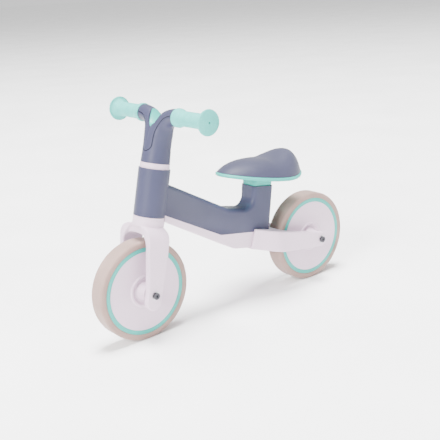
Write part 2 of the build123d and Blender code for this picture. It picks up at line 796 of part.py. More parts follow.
neck_space = head_bottom_radius + 1
with BuildPart() as frame_shell:
    add(beam.part)
    extrude(joint_half(True), amount=wheel_radius, both=True, mode=Mode.INTERSECT)
    with BuildSketch(steer.offset(head_bottom)):
        Circle(head_bottom_radius)
    with BuildSketch(steer.offset(head_top)):
        Circle(head_top_radius)
    loft()
    extrude(beam_side(beam_wall), amount=beam_half_width - beam_wall, both=True,
            mode=Mode.SUBTRACT)
    collar(0, head_bottom_radius, head_bottom, head_top)
    # The seat tube is open at its top for the post.
    tube_top = Plane(origin=(seat_tube_x(seat_tube_top), 0, seat_tube_top),
                     x_dir=(cos(radians(seat_tube_lean)), 0, sin(radians(seat_tube_lean))),
                     z_dir=(-sin(radians(seat_tube_lean)), 0, cos(radians(seat_tube_lean))))
    post_middle = (seat_tube_front - seat_tube_rear) / 2
    post_space = (seat_tube_front + seat_tube_rear - 2 * beam_wall,
                  2 * (beam_half_width - beam_wall))
    with BuildSketch(tube_top) as mouth:
        with Locations((post_middle, 0)):
            RectangleRounded(*post_space, beam_edge - beam_wall)
    extrude(mouth.sketch, amount=-post_length, mode=Mode.SUBTRACT)
    collar(0, neck_space, neck_bottom - 30, head_bottom, mode=Mode.SUBTRACT)
    add(bosses.part)
    for x in beam_screw_places + yoke_screw_places:
        with BuildSketch(beam_floor(x)) as boss_hole:
            Circle(screw_radius)
        extrude(boss_hole.sketch, amount=screw_length + 1, mode=Mode.SUBTRACT)
    collar(0, head_bore_radius, head_bottom, head_top, mode=Mode.SUBTRACT)
    collar(0, bush_outer_radius, head_bottom, head_bottom + bush_length, mode=Mode.SUBTRACT)
    collar(0, bush_flange_radius, head_bottom, head_bottom + bush_flange_thickness,
           mode=Mode.SUBTRACT)
    collar(0, bush_outer_radius, head_top - bush_length, head_top, mode=Mode.SUBTRACT)
    collar(0, bush_flange_radius, head_top - bush_flange_thickness, head_top,
           mode=Mode.SUBTRACT)
    stop_sector(stop_width + 2 * running_gap, stop_span / 2 + steering_limit + stop_slack,
                head_bottom, head_bottom + stop_height + 1, mode=Mode.SUBTRACT)
    # Hole for the clamp bolt in the right wall.
    clamp_hole = Plane(origin=tube_top.origin, x_dir=tube_top.z_dir, z_dir=(0, -1, 0))
    with BuildSketch(clamp_hole) as bolt_hole:
        with Locations((-clamp_bolt_depth, 0)):
            Circle(clamp_bolt_radius)
    extrude(bolt_hole.sketch, amount=beam_half_width, mode=Mode.SUBTRACT)
save(frame_shell, "frame_shell")

with BuildPart() as underbeam:
    add(beam.part)
    extrude(beam_side(beam_wall), amount=beam_half_width - beam_wall, both=True,
            mode=Mode.SUBTRACT)
    for x in beam_screw_places + yoke_screw_places:
        with BuildSketch(beam_floor(x).offset(beam_wall / 2)) as pad:
            Circle(screw_pad_radius)
        extrude(pad.sketch, amount=screw_pad_height - beam_wall / 2)
    extrude(joint_half(False), amount=wheel_radius, both=True, mode=Mode.INTERSECT)
    for x in beam_screw_places + yoke_screw_places:
        with BuildSketch(beam_floor(x).offset(-1)) as screw_hole:
            Circle(screw_radius)
        extrude(screw_hole.sketch, amount=screw_pad_height + 2, mode=Mode.SUBTRACT)
    for x in beam_screw_places:
        with BuildSketch(beam_floor(x).offset(-1)) as head_hole:
            Circle(screw_head_radius + running_gap)
        extrude(head_hole.sketch, amount=1 + screw_head_height, mode=Mode.SUBTRACT)
    collar(0, neck_space, neck_bottom - 30, head_bottom, mode=Mode.SUBTRACT)
    collar(0, head_bottom_radius, head_bottom, head_top, mode=Mode.SUBTRACT)
save(underbeam, "underbeam")

with BuildPart() as underbeam_screws:
    for x in beam_screw_places:
        with BuildSketch(beam_floor(x)) as head:
            Circle(screw_head_radius)
        extrude(head.sketch, amount=screw_head_height)
        with BuildSketch(beam_floor(x).offset(screw_head_height)) as shank:
            Circle(screw_radius)
        extrude(shank.sketch, amount=screw_length - screw_head_height)
save(underbeam_screws, "underbeam_screws")

# ---- Rear fork ----

arm_end_top = wheel_radius + arm_end_radius
with BuildPart() as rear_fork:
    with BuildSketch(Plane.XZ):
        with BuildLine():
            Polyline(
                (rear_axle.X, wheel_radius - arm_end_radius),
                yoke_low,
                yoke_front_bottom,
                yoke_front_top,
                (rear_axle.X, arm_end_top),
            )
            ThreePointArc(
                (rear_axle.X, arm_end_top),
                (rear_axle.X - arm_end_radius, wheel_radius),
                (rear_axle.X, wheel_radius - arm_end_radius),
            )
        make_face()
    extrude(amount=arm_outer, both=True)
    far_end = rear_axle.X - 2 * arm_end_radius
    slot_front = rear_axle.X + wheel_radius + wheel_gap
    arm_inner = arm_outer - arm_thickness
    with BuildSketch():
        with BuildLine():
            Line((yoke_front_bottom[0], yoke_front_half_width),
                 (yoke_front_bottom[0], -yoke_front_half_width))
            Spline(
                (yoke_front_bottom[0], -yoke_front_half_width),
                (yoke_full_width_x, -arm_outer),
                tangents=[(-1, -0.12), (-1, 0)],
            )
            Polyline(
                (yoke_full_width_x, -arm_outer),
                (far_end, -arm_outer),
                (far_end, -arm_inner),
                (slot_front - slot_rounding, -arm_inner),
            )
            Spline(
                (slot_front - slot_rounding, -arm_inner),
                (slot_front, 0),
                (slot_front - slot_rounding, arm_inner),
                tangents=[(1, 0), (-1, 0)],
            )
            Polyline(
                (slot_front - slot_rounding, arm_inner),
                (far_end, arm_inner),
                (far_end, arm_outer),
                (yoke_full_width_x, arm_outer),
            )
            Spline(
                (yoke_full_width_x, arm_outer),
                (yoke_front_bottom[0], yoke_front_half_width),
                tangents=[(1, 0), (1, -0.12)],
            )
        make_face()
    extrude(amount=2 * wheel_radius, mode=Mode.INTERSECT)
    for way in (1, -1):
        ring(rear_axle, 0, fork_boss_radius, way * fork_boss_face, way * (arm_inner + 1))
    add(beam.part, mode=Mode.SUBTRACT)
    ring(rear_axle, 0, bearing_bore_radius, -arm_outer, arm_outer, mode=Mode.SUBTRACT)
    for x in yoke_screw_places:
        with BuildSketch(beam_floor(x).offset(-wheel_gap)) as yoke_hole:
            Circle(screw_radius)
        extrude(yoke_hole.sketch, amount=2 * wheel_gap, mode=Mode.SUBTRACT)
        with BuildSketch(beam_floor(x).offset(-2 * wheel_gap)) as yoke_head_hole:
            Circle(screw_head_radius + running_gap)
        extrude(yoke_head_hole.sketch, amount=2 * wheel_gap - yoke_floor, mode=Mode.SUBTRACT)
save(rear_fork, "rear_fork")

with BuildPart() as rear_fork_screws:
    for x in yoke_screw_places:
        with BuildSketch(beam_floor(x).offset(-yoke_floor - screw_head_height)) as head:
            Circle(screw_head_radius)
        extrude(head.sketch, amount=screw_head_height)
        with BuildSketch(beam_floor(x).offset(-yoke_floor)) as shank:
            Circle(screw_radius)
        extrude(shank.sketch, amount=screw_length)
save(rear_fork_screws, "rear_fork_screws")

# ---- Seat ----

clamp_side = Plane(origin=tube_top.origin, x_dir=tube_top.z_dir, z_dir=(0, -1, 0))
with BuildPart() as clamp_bolt:
    with BuildSketch(clamp_side.offset(beam_half_width)) as head:
        with Locations((-clamp_bolt_depth, 0)):
            Circle(clamp_head_radius)
    extrude(head.sketch, amount=bolt_head_height)
    with BuildSketch(clamp_side.offset(beam_half_width)) as shank:
        with Locations((-clamp_bolt_depth, 0)):
            Circle(clamp_bolt_radius)
    extrude(shank.sketch, amount=-(2 * beam_half_width - beam_wall - running_gap))
    with BuildSketch(clamp_side.offset(beam_half_width + bolt_head_height)) as socket:
        with Locations((-clamp_bolt_depth, 0)):
            RegularPolygon(hex_socket_flats / 2, 6, major_radius=False)
    extrude(socket.sketch, amount=-hex_socket_depth, mode=Mode.SUBTRACT)
save(clamp_bolt, "seat_clamp_bolt")

nut_face = beam_half_width - beam_wall - axle_clearance
with BuildPart() as clamp_nut:
    with BuildSketch(clamp_side.offset(-nut_face)) as nut:
        with Locations((-clamp_bolt_depth, 0)):
            Rectangle(clamp_nut_flats, clamp_nut_flats)
            Circle(clamp_bolt_radius, mode=Mode.SUBTRACT)
    extrude(nut.sketch, amount=clamp_nut_height)
save(clamp_nut, "seat_clamp_nut")

seat_plane = Plane(
    origin=(seat_plane_x, 0, seat_plane_z),
    x_dir=(cos(radians(seat_pitch)), 0, sin(radians(seat_pitch))),
    z_dir=(-sin(radians(seat_pitch)), 0, cos(radians(seat_pitch))),
)


def seat_outline(place, inset, reach=1.0):
    """The seat's egg-shaped plan on a plane, drawn in from the rim, or scaled by reach."""
    front = (seat_front - seat_plane_x - inset) * reach
    rear = (seat_rear - seat_plane_x + inset) * reach
    wide_x = (seat_widest_x - seat_plane_x) * reach
    half = (seat_half_width - inset) * reach
    nose = (seat_nose_half_width - inset) * reach
    with BuildSketch(place) as plan:
        with BuildLine():
            Bezier(
                (front, 0),
                (front, nose),
                (wide_x + (front - wide_x) / 2, half),
                (wide_x, half),
            )
            Bezier(
                (wide_x, half),
                (wide_x + (rear - wide_x) * seat_roundness, half),
                (rear, half * seat_roundness),
                (rear, 0),
            )
            mirror(about=Plane.XZ)
        make_face()
    return plan.sketch


post_size = (post_space[0] - 2 * post_clearance, post_space[1] - 2 * post_clearance)
neck_size = (
    seat_tube_front + seat_tube_rear - 2 * neck_inset,
    2 * beam_half_width - 2 * neck_inset,
)
slot_width = 2 * clamp_bolt_radius + 2 * running_gap
with BuildPart() as seat_base:
    extrude(seat_outline(seat_plane, 0), amount=tray_thickness)
    fillet(seat_base.edges().filter_by(GeomType.BSPLINE), tray_edge)
    with BuildSketch(tube_top.offset(neck_gap)) as neck:
        with Locations((post_middle, 0)):
            RectangleRounded(*neck_size, beam_edge - neck_inset)
    extrude(neck.sketch, amount=seat_plane_z - seat_tube_top + tray_thickness / 2)
    with BuildSketch(tube_top.offset(neck_gap)) as post:
        with Locations((post_middle, 0)):
            RectangleRounded(*post_size, beam_edge - beam_wall - post_clearance)
    extrude(post.sketch, amount=-post_length)
    with BuildSketch(clamp_side) as slot:
        with Locations((-clamp_bolt_depth - seat_travel / 2, 0)):
            SlotCenterToCenter(seat_travel, slot_width)
    extrude(slot.sketch, amount=beam_half_width, both=True, mode=Mode.SUBTRACT)
    with BuildSketch(clamp_side.offset(-nut_face - 1)) as groove:
        with Locations((-clamp_bolt_depth - seat_travel / 2, 0)):
            Rectangle(seat_travel + clamp_nut_flats + 2 * running_gap,
                      clamp_nut_flats + 2 * running_gap)
    extrude(groove.sketch, amount=clamp_nut_height + 1 + running_gap, mode=Mode.SUBTRACT)
    with BuildSketch(seat_plane) as screw_holes:
        with Locations(*seat_screw_places):
            Circle(screw_radius)
    extrude(screw_holes.sketch, amount=tray_thickness, mode=Mode.SUBTRACT)
    with BuildSketch(seat_plane) as head_holes:
        with Locations(*seat_screw_places):
            Circle(screw_head_radius + running_gap)
    extrude(head_holes.sketch, amount=screw_head_height, mode=Mode.SUBTRACT)
save(seat_base, "seat_base")

pad_plane = seat_plane.offset(tray_thickness)
with BuildPart() as seat_board:
    extrude(seat_outline(pad_plane, board_inset), amount=board_thickness)
    with BuildSketch(pad_plane) as board_holes:
        with Locations(*seat_screw_places):
            Circle(screw_radius)
    extrude(board_holes.sketch, amount=board_thickness, mode=Mode.SUBTRACT)
save(seat_board, "seat_board")

crown_plane = Plane(origin=(seat_plane_x - crown_shift, 0, cushion_level))
middle_plane = Plane(
    origin=(seat_plane_x, 0, (seat_plane_z + tray_thickness + cushion_level) / 2 + 3),
    x_dir=(cos(radians(seat_pitch / 2)), 0, sin(radians(seat_pitch / 2))),
    z_dir=(-sin(radians(seat_pitch / 2)), 0, cos(radians(seat_pitch / 2))),
)
with BuildPart() as cushion:
    loft([
        seat_outline(pad_plane, cushion_inset),
        seat_outline(middle_plane, cushion_inset, 0.97),
        seat_outline(crown_plane, cushion_inset, crown_reach),
    ])
    add(seat_board.part, mode=Mode.SUBTRACT)
    with BuildSketch(pad_plane) as tip_holes:
        with Locations(*seat_screw_places):
            Circle(screw_radius)
    extrude(tip_holes.sketch, amount=board_thickness + 1, mode=Mode.SUBTRACT)
save(cushion, "seat_cushion")

with BuildPart() as seat_screws:
    with BuildSketch(seat_plane) as heads:
        with Locations(*seat_screw_places):
            Circle(screw_head_radius)
    extrude(heads.sketch, amount=screw_head_height)
    with BuildSketch(seat_plane) as shanks:
        with Locations(*seat_screw_places):
            Circle(screw_radius)
    extrude(shanks.sketch, amount=tray_thickness + board_thickness + 0.5)
save(seat_screws, "seat_screws")
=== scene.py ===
import json
import math

import bmesh
import bpy
import numpy as np
from mathutils import Matrix, Vector


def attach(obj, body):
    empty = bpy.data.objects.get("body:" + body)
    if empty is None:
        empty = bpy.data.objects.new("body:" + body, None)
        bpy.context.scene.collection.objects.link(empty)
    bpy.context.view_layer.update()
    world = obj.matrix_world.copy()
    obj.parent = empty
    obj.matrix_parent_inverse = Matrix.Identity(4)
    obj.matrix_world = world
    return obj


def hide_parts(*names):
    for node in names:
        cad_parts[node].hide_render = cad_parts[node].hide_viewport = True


# A toddler's balance bike: +X forward, +Y the rider's left, +Z up, metres.
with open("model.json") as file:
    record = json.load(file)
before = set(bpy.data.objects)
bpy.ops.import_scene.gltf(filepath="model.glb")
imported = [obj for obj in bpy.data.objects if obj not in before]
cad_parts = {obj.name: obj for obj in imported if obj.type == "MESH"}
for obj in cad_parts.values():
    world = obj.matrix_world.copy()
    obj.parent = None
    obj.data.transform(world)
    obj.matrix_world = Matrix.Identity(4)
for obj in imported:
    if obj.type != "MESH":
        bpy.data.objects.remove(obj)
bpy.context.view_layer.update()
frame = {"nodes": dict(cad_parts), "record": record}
nodes = frame["nodes"]
print("frame loaded:", len(nodes), "nodes")

mm = 0.001
wheelRadius = 95 * mm
frontAxle = np.array([0.2145, 0.0, wheelRadius])
rearAxle = np.array([-0.2145, 0.0, wheelRadius])
rake = math.radians(13.43)
steerUp = np.array([-math.sin(rake), 0.0, math.cos(rake)])
steerForward = np.array([math.cos(rake), 0.0, math.sin(rake)])
barCentre = 322.2 * mm
sideways = np.array([0, 1.0, 0])
barMiddle = frontAxle + steerUp * barCentre


# materials

def linear(red, green, blue):
    # screen colour 0..255 to the linear light that shaders take
    value = np.array([red, green, blue]) / 255
    low = value / 12.92
    high = ((value + 0.055) / 1.055) ** 2.4
    return (*np.where(value <= 0.04045, low, high).tolist(), 1.0)


def startMaterial(name):
    # a new node tree, its shader, and the object's own coordinates
    material = bpy.data.materials.new(name)
    material.use_nodes = True
    tree = material.node_tree
    shader = tree.nodes["Principled BSDF"]
    place = tree.nodes.new("ShaderNodeTexCoord")
    return material, tree, shader, place.outputs["Object"]


def noise(tree, place, scale, detail, rough=0.5):
    # cloud noise, 0..1
    node = tree.nodes.new("ShaderNodeTexNoise")
    node.inputs["Scale"].default_value = scale
    node.inputs["Detail"].default_value = detail
    node.inputs["Roughness"].default_value = rough
    tree.links.new(place, node.inputs["Vector"])
    return node.outputs["Fac"]


def spread(tree, source, low, high, fromLow=0.3, fromHigh=0.7):
    # low + (high - low) * (source - fromLow) / (fromHigh - fromLow), clamped
    node = tree.nodes.new("ShaderNodeMapRange")
    node.inputs["From Min"].default_value = fromLow
    node.inputs["From Max"].default_value = fromHigh
    node.inputs["To Min"].default_value = low
    node.inputs["To Max"].default_value = high
    tree.links.new(source, node.inputs["Value"])
    return node.outputs["Result"]


def mixColour(tree, factor, first, second):
    # first where the factor is 0, second where it is 1
    node = tree.nodes.new("ShaderNodeMix")
    node.data_type = "RGBA"
    node.inputs["A"].default_value = first
    node.inputs["B"].default_value = second
    tree.links.new(factor, node.inputs["Factor"])
    return node.outputs["Result"]


def addBump(tree, shader, height, strength, distance, previous=None):
    # a bump on top of the previous one
    node = tree.nodes.new("ShaderNodeBump")
    node.inputs["Strength"].default_value = strength
    node.inputs["Distance"].default_value = distance
    tree.links.new(height, node.inputs["Height"])
    if previous is not None:
        tree.links.new(previous, node.inputs["Normal"])
    tree.links.new(node.outputs["Normal"], shader.inputs["Normal"])
    return node.outputs["Normal"]


def twoTones(look):
    # the look's colour, made a little darker and a little lighter
    base = np.array(look["colour"])
    dark = linear(*np.clip(base - look["variation"], 0, 255))
    light = linear(*np.clip(base + look["variation"], 0, 255))
    return dark, light


def mouldedPlastic(name, look):
    # moulded plastic: a faint cloudiness in the colour, a fine spark-eroded grain,
    # a slow waviness as from cooling, and a roughness that varies a little
    material, tree, shader, place = startMaterial(name)
    cloud = noise(tree, place, look["cloudScale"], 3)
    clean = mixColour(tree, spread(tree, cloud, 0, 1), *twoTones(look))
    # painted shade: a per-point mask on the mesh multiplies the colour towards a darker shade
    # colour, standing in for the shade that falls in grooves
    paintedShadeColour = tree.nodes.new("ShaderNodeAttribute")
    paintedShadeColour.attribute_name = "paintedShadeMask"
    shadow = mixColour(tree, paintedShadeColour.outputs["Fac"], (1, 1, 1, 1), linear(*look["paintedShadeColour"]))
    shaded = tree.nodes.new("ShaderNodeMix")
    shaded.data_type = "RGBA"
    shaded.blend_type = "MULTIPLY"
    shaded.inputs["Factor"].default_value = 1
    tree.links.new(clean, shaded.inputs["A"])
    tree.links.new(shadow, shaded.inputs["B"])
    tree.links.new(shaded.outputs["Result"], shader.inputs["Base Color"])
    grain = noise(tree, place, look["grainScale"], 2, 0.6)
    rough = spread(tree, grain, look["rough"] - 0.04, look["rough"] + 0.05)
    tree.links.new(rough, shader.inputs["Roughness"])
    shader.inputs["Specular IOR Level"].default_value = look["shine"]
    wave = noise(tree, place, 22, 1)
    slow = addBump(tree, shader, wave, 0.12, 0.0006)
    addBump(tree, shader, grain, look["grain"], 0.0002, slow)
    return material


def softRubber(name, look):
    # grip rubber: rows of fine dimples round the bar over a soft satin skin
    material, tree, shader, place = startMaterial(name)
    cloud = spread(tree, noise(tree, place, 60, 3), 0, 1)
    dimples = tree.nodes.new("ShaderNodeTexVoronoi")
    dimples.inputs["Scale"].default_value = look["dimpleScale"]
    tree.links.new(place, dimples.inputs["Vector"])
    pits = spread(tree, dimples.outputs["Distance"], 0, 1, 0.1, 0.55)
    both = tree.nodes.new("ShaderNodeMath")
    both.operation = "MULTIPLY"
    tree.links.new(cloud, both.inputs[0])
    tree.links.new(spread(tree, pits, 1, 0.3, 0, 1), both.inputs[1])
    tree.links.new(mixColour(tree, both.outputs["Value"], *twoTones(look)),
                   shader.inputs["Base Color"])
    fine = addBump(tree, shader, noise(tree, place, 2400, 2), 0.15, 0.0002)
    addBump(tree, shader, pits, look["grain"], 0.0004, fine)
    tree.links.new(spread(tree, pits, look["rough"] + 0.08, look["rough"], 0, 1),
                   shader.inputs["Roughness"])
    shader.inputs["Specular IOR Level"].default_value = look["shine"]
    return material


def foam(name, look):
    # closed-cell foam: two sizes of pebbling in its bumps, over a cloudy colour
    material, tree, shader, place = startMaterial(name)
    pebbles = tree.nodes.new("ShaderNodeTexVoronoi")
    pebbles.inputs["Scale"].default_value = look["cellScale"]
    tree.links.new(place, pebbles.inputs["Vector"])
    pits = spread(tree, pebbles.outputs["Distance"], 0, 1, 0.05, 0.6)
    cloud = spread(tree, noise(tree, place, 35, 4), 0, 1)
    tree.links.new(mixColour(tree, cloud, *twoTones(look)), shader.inputs["Base Color"])
    rough = addBump(tree, shader, noise(tree, place, 900, 3), 0.2, 0.0003)
    addBump(tree, shader, pits, look["grain"], 0.0003, rough)
    shader.inputs["Roughness"].default_value = look["rough"]
    shader.inputs["Specular IOR Level"].default_value = look["shine"]
    shader.inputs["Sheen Weight"].default_value = 0.15
    return material


def seatSkin(name, look):
    # moulded polyurethane skin: leather-like cells, finer creases between them
    material, tree, shader, place = startMaterial(name)
    cells = tree.nodes.new("ShaderNodeTexVoronoi")
    cells.feature = "DISTANCE_TO_EDGE"
    cells.inputs["Scale"].default_value = look["cellScale"]
    warp = tree.nodes.new("ShaderNodeTexNoise")
    warp.inputs["Scale"].default_value = 150
    tree.links.new(place, warp.inputs["Vector"])
    bend = tree.nodes.new("ShaderNodeVectorMath")
    bend.operation = "MULTIPLY_ADD"
    bend.inputs[1].default_value = (0.004, 0.004, 0.004)
    tree.links.new(warp.outputs["Color"], bend.inputs[0])
    tree.links.new(place, bend.inputs[2])
    tree.links.new(bend.outputs["Vector"], cells.inputs["Vector"])
    creases = spread(tree, cells.outputs["Distance"], 0, 1, 0, 0.12)
    cloud = spread(tree, noise(tree, place, 18, 4), 0, 1)
    tree.links.new(mixColour(tree, cloud, *twoTones(look)), shader.inputs["Base Color"])
    slow = addBump(tree, shader, noise(tree, place, 14, 2), 0.15, 0.001)
    addBump(tree, shader, creases, look["grain"], 0.0002, slow)
    tree.links.new(spread(tree, creases, look["rough"] + 0.12, look["rough"], 0, 1),
                   shader.inputs["Roughness"])
    shader.inputs["Specular IOR Level"].default_value = look["shine"]
    shader.inputs["Sheen Weight"].default_value = 0.1
    return material


def metal(name, look):
    # turned steel: fine rings of tool marks, and a little tarnish
    material, tree, shader, place = startMaterial(name)
    marks = tree.nodes.new("ShaderNodeTexWave")
    marks.wave_type = "RINGS"
    marks.rings_direction = "Y"
    marks.inputs["Scale"].default_value = look["markScale"]
    marks.inputs["Distortion"].default_value = 0.6
    tree.links.new(place, marks.inputs["Vector"])
    tarnish = spread(tree, noise(tree, place, 260, 4), 0, 1)
    tree.links.new(mixColour(tree, tarnish, *twoTones(look)), shader.inputs["Base Color"])
    tree.links.new(spread(tree, tarnish, look["rough"] - 0.06, look["rough"] + 0.08, 0, 1),
                   shader.inputs["Roughness"])
    addBump(tree, shader, marks.outputs["Fac"], look["grain"], 0.0001)
    shader.inputs["Metallic"].default_value = look["metallic"]
    return material


def plywood(name, look):
    # the board hidden in the seat: stretched grain in two browns
    material, tree, shader, place = startMaterial(name)
    stretch = tree.nodes.new("ShaderNodeMapping")
    stretch.inputs["Scale"].default_value = (8, 90, 90)
    tree.links.new(place, stretch.inputs["Vector"])
    grain = spread(tree, noise(tree, stretch.outputs["Vector"], 6, 6), 0, 1)
    tree.links.new(mixColour(tree, grain, linear(*look["dark"]), linear(*look["colour"])),
                   shader.inputs["Base Color"])
    addBump(tree, shader, grain, 0.2, 0.0003)
    shader.inputs["Roughness"].default_value = 0.7
    return material


# in the plastic looks, the colour listed after the cloud scale is not the plastic's own: it is
# multiplied in as painted shade where a groove is marked
slateLook = {"colour": (56, 57, 78), "variation": 2, "cloudScale": 14, "paintedShadeColour": (70, 70, 84),
             "grainScale": 1500, "grain": 0.16, "rough": 0.4, "shine": 0.2}
whiteLook = {"colour": (202, 180, 197), "variation": 2, "cloudScale": 12,
             "paintedShadeColour": (120, 112, 120), "grainScale": 1400, "grain": 0.10,
             "rough": 0.36, "shine": 0.45}
mintLook = {"colour": (52, 158, 148), "variation": 3, "cloudScale": 18, "paintedShadeColour": (90, 110, 110),
            "grainScale": 1600, "grain": 0.10, "rough": 0.38, "shine": 0.25}
gripLook = {"colour": (84, 180, 172), "variation": 12, "dimpleScale": 520,
            "grain": 0.9, "rough": 0.55, "shine": 0.2}
tyreLook = {"colour": (144, 121, 113), "variation": 4, "cellScale": 420,
            "grain": 0.22, "rough": 0.7, "shine": 0.15}
seatLook = {"colour": (52, 53, 73), "variation": 3, "cellScale": 520,
            "grain": 0.22, "rough": 0.46, "shine": 0.2}
boltLook = {"colour": (70, 69, 74), "variation": 8, "markScale": 900,
            "grain": 0.2, "rough": 0.34, "metallic": 0.9}
steelLook = {"colour": (188, 188, 190), "variation": 8, "markScale": 900,
             "grain": 0.15, "rough": 0.28, "metallic": 1.0}
bushLook = {"colour": (54, 54, 58), "variation": 3, "cloudScale": 30, "paintedShadeColour": (120, 120, 120),
            "grainScale": 1500, "grain": 0.12, "rough": 0.4, "shine": 0.4}
boardLook = {"colour": (196, 164, 120), "dark": (150, 116, 78)}

materials = {
    "slate_plastic": mouldedPlastic("slatePlastic", slateLook),
    "white_plastic": mouldedPlastic("whitePlastic", whiteLook),
    "mint_plastic": mouldedPlastic("mintPlastic", mintLook),
    "mint_rubber": softRubber("gripRubber", gripLook),
    "tyre_foam": foam("tyreFoam", tyreLook),
    "slate_cushion": seatSkin("seatSkin", seatLook),
    "board": plywood("seatBoard", boardLook),
    "bush_plastic": mouldedPlastic("bushPlastic", bushLook),
    "dark_steel": metal("darkSteel", boltLook),
    "steel": metal("brightSteel", steelLook),
}
print("materials made:", len(materials))


# each CAD node that stays takes its slot's material

slotOfNode = {row["node"]: row["material_slot"] for row in frame["record"]["subparts"]}
for nodeName, node in nodes.items():
    node.data.materials.clear()
    node.data.materials.append(materials[slotOfNode[nodeName]])
print("nodes painted:", len(slotOfNode))


# mesh helpers

def finishPiece(name, points, faces, slotName, body, standsFor=(), sharp=40):
    mesh = bpy.data.meshes.new(name)
    mesh.from_pydata(points.reshape(-1, 3).tolist(), [], faces)
    mesh.validate()
    # the signed volume of the fan of tetrahedra from the origin says which way it faces
    mesh.calc_loop_triangles()
    corners = np.zeros(len(mesh.loop_triangles) * 3, np.int32)
    mesh.loop_triangles.foreach_get("vertices", corners)
    flat = points.reshape(-1, 3)[corners.reshape(-1, 3)]
    flat = flat - flat.mean(axis=(0, 1))
    volume = np.einsum("ij,ij->i", flat[:, 0], np.cross(flat[:, 1], flat[:, 2])).sum()
    if volume < 0:
        mesh.flip_normals()
    mesh.polygons.foreach_set("use_smooth", [True] * len(mesh.polygons))
    mesh.set_sharp_from_angle(angle=math.radians(sharp))
    mesh.materials.append(materials[slotName])
    piece = bpy.data.objects.new(name, mesh)
    bpy.context.scene.collection.objects.link(piece)
    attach(piece, body)
    if standsFor:
        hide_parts(*standsFor)
    return piece


def gridFaces(rows, columns, wrapRows=False, wrapColumns=False):
    # quads between neighbours of a rows x columns grid, wrapped round where asked
    index = np.arange(rows * columns).reshape(rows, columns)
    if wrapRows:
        index = np.vstack([index, index[:1]])
    if wrapColumns:
        index = np.hstack([index, index[:, :1]])
    quads = np.stack([index[:-1, :-1], index[1:, :-1], index[1:, 1:], index[:-1, 1:]], -1)
    return quads.reshape(-1, 4).tolist()


def roundedLine(corners, radius, steps=5):
    # a closed line of corners with each corner cut by a parabola:
    # (1-t)^2 a + 2t(1-t) corner + t^2 b, where a and b lie up to a radius from it
    corners = np.array(corners, float)
    before = np.roll(corners, 1, 0) - corners
    after = np.roll(corners, -1, 0) - corners
    lengths = np.linalg.norm(before, axis=1), np.linalg.norm(after, axis=1)
    reach = np.minimum(radius, 0.45 * np.minimum(*lengths))[:, None]
    a = corners + before / lengths[0][:, None] * reach
    b = corners + after / lengths[1][:, None] * reach
    t = np.linspace(0, 1, steps)[None, :, None]
    line = (1 - t) ** 2 * a[:, None] + 2 * t * (1 - t) * corners[:, None] + t ** 2 * b[:, None]
    return line.reshape(-1, 2)


def turned(name, centre, profile, steps, slotName, body, standsFor, sharp=40):
    # a closed profile of (distance along Y, radius) turned about the line through centre
    angle = np.linspace(0, 2 * math.pi, steps, endpoint=False)[:, None]
    along, radius = profile[None, :, 0], profile[None, :, 1]
    points = np.stack([centre[0] + radius * np.cos(angle),
                       centre[1] + along + 0 * angle,
                       centre[2] + radius * np.sin(angle)], -1)
    faces = gridFaces(steps, len(profile), True, True)
    return finishPiece(name, points, faces, slotName, body, standsFor, sharp)


def steered(y, b, level):
    # sideways, forward and up the steering axis, measured from the front axle
    return (frontAxle + b[..., None] * steerForward + level[..., None] * steerUp
            + y[..., None] * sideways)


def weld(piece, distance):
    # one closed skin: points nearer than the distance are joined, faces turned outwards
    skin = bmesh.new()
    skin.from_mesh(piece.data)
    bmesh.ops.remove_doubles(skin, verts=skin.verts, dist=distance)
    bmesh.ops.recalc_face_normals(skin, faces=skin.faces)
    skin.to_mesh(piece.data)
    skin.free()


def mergedCopy(nodeName):
    # the node's own triangles, welded into one skin
    skin = bmesh.new()
    skin.from_mesh(nodes[nodeName].data)
    bmesh.ops.remove_doubles(skin, verts=skin.verts, dist=0.02 * mm)
    mesh = bpy.data.meshes.new(nodeName + "Copy")
    skin.to_mesh(mesh)
    skin.free()
    return mesh


def softened(name, nodeName, look, slotName, body):
    # a moulding with its edges eased: the node's skin on an even grid, then relaxed
    mesh = mergedCopy(nodeName)
    mesh.materials.clear()
    mesh.materials.append(materials[slotName])
    piece = bpy.data.objects.new(name, mesh)
    bpy.context.scene.collection.objects.link(piece)
    remesh = piece.modifiers.new("grid", "REMESH")
    remesh.mode = "VOXEL"
    remesh.voxel_size = look["grid"]
    ease = piece.modifiers.new("ease", "SMOOTH")
    ease.factor = 0.5
    ease.iterations = look["easing"]
    bpy.context.view_layer.update()
    graph = bpy.context.evaluated_depsgraph_get()
    made = bpy.data.meshes.new_from_object(piece.evaluated_get(graph))
    piece.modifiers.clear()
    piece.data = made
    made.name = name
    made.polygons.foreach_set("use_smooth", [True] * len(made.polygons))
    if not made.materials:
        made.materials.append(materials[slotName])
    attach(piece, body)
    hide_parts(nodeName)
    return piece


# crotch insert, whose saddle also shapes the stem under it

insert = {"halfWidth": 22 * mm, "front": 20.6 * mm, "frontDraw": 15.5 * mm,
          "rear": -17.5 * mm, "rearDraw": 9 * mm, "frontValley": 302.5 * mm,
          "rearValley": 317 * mm, "sideMiddle": 316.2 * mm, "sideRadius": 15.9 * mm,
          "thickness": 5 * mm, "proud": 0.5 * mm, "lip": 0.7 * mm, "lipShare": 0.05,
          "footShare": 0.93, "acrossSteps": 101, "depthSteps": 41}


def insertEdges(y):
    # front and rear limits of the saddle at y, drawn in towards the arms
    share = np.clip(np.abs(y) / insert["halfWidth"], 0, 1) ** 1.5
    return (insert["front"] - insert["frontDraw"] * share,
            insert["rear"] + insert["rearDraw"] * share)


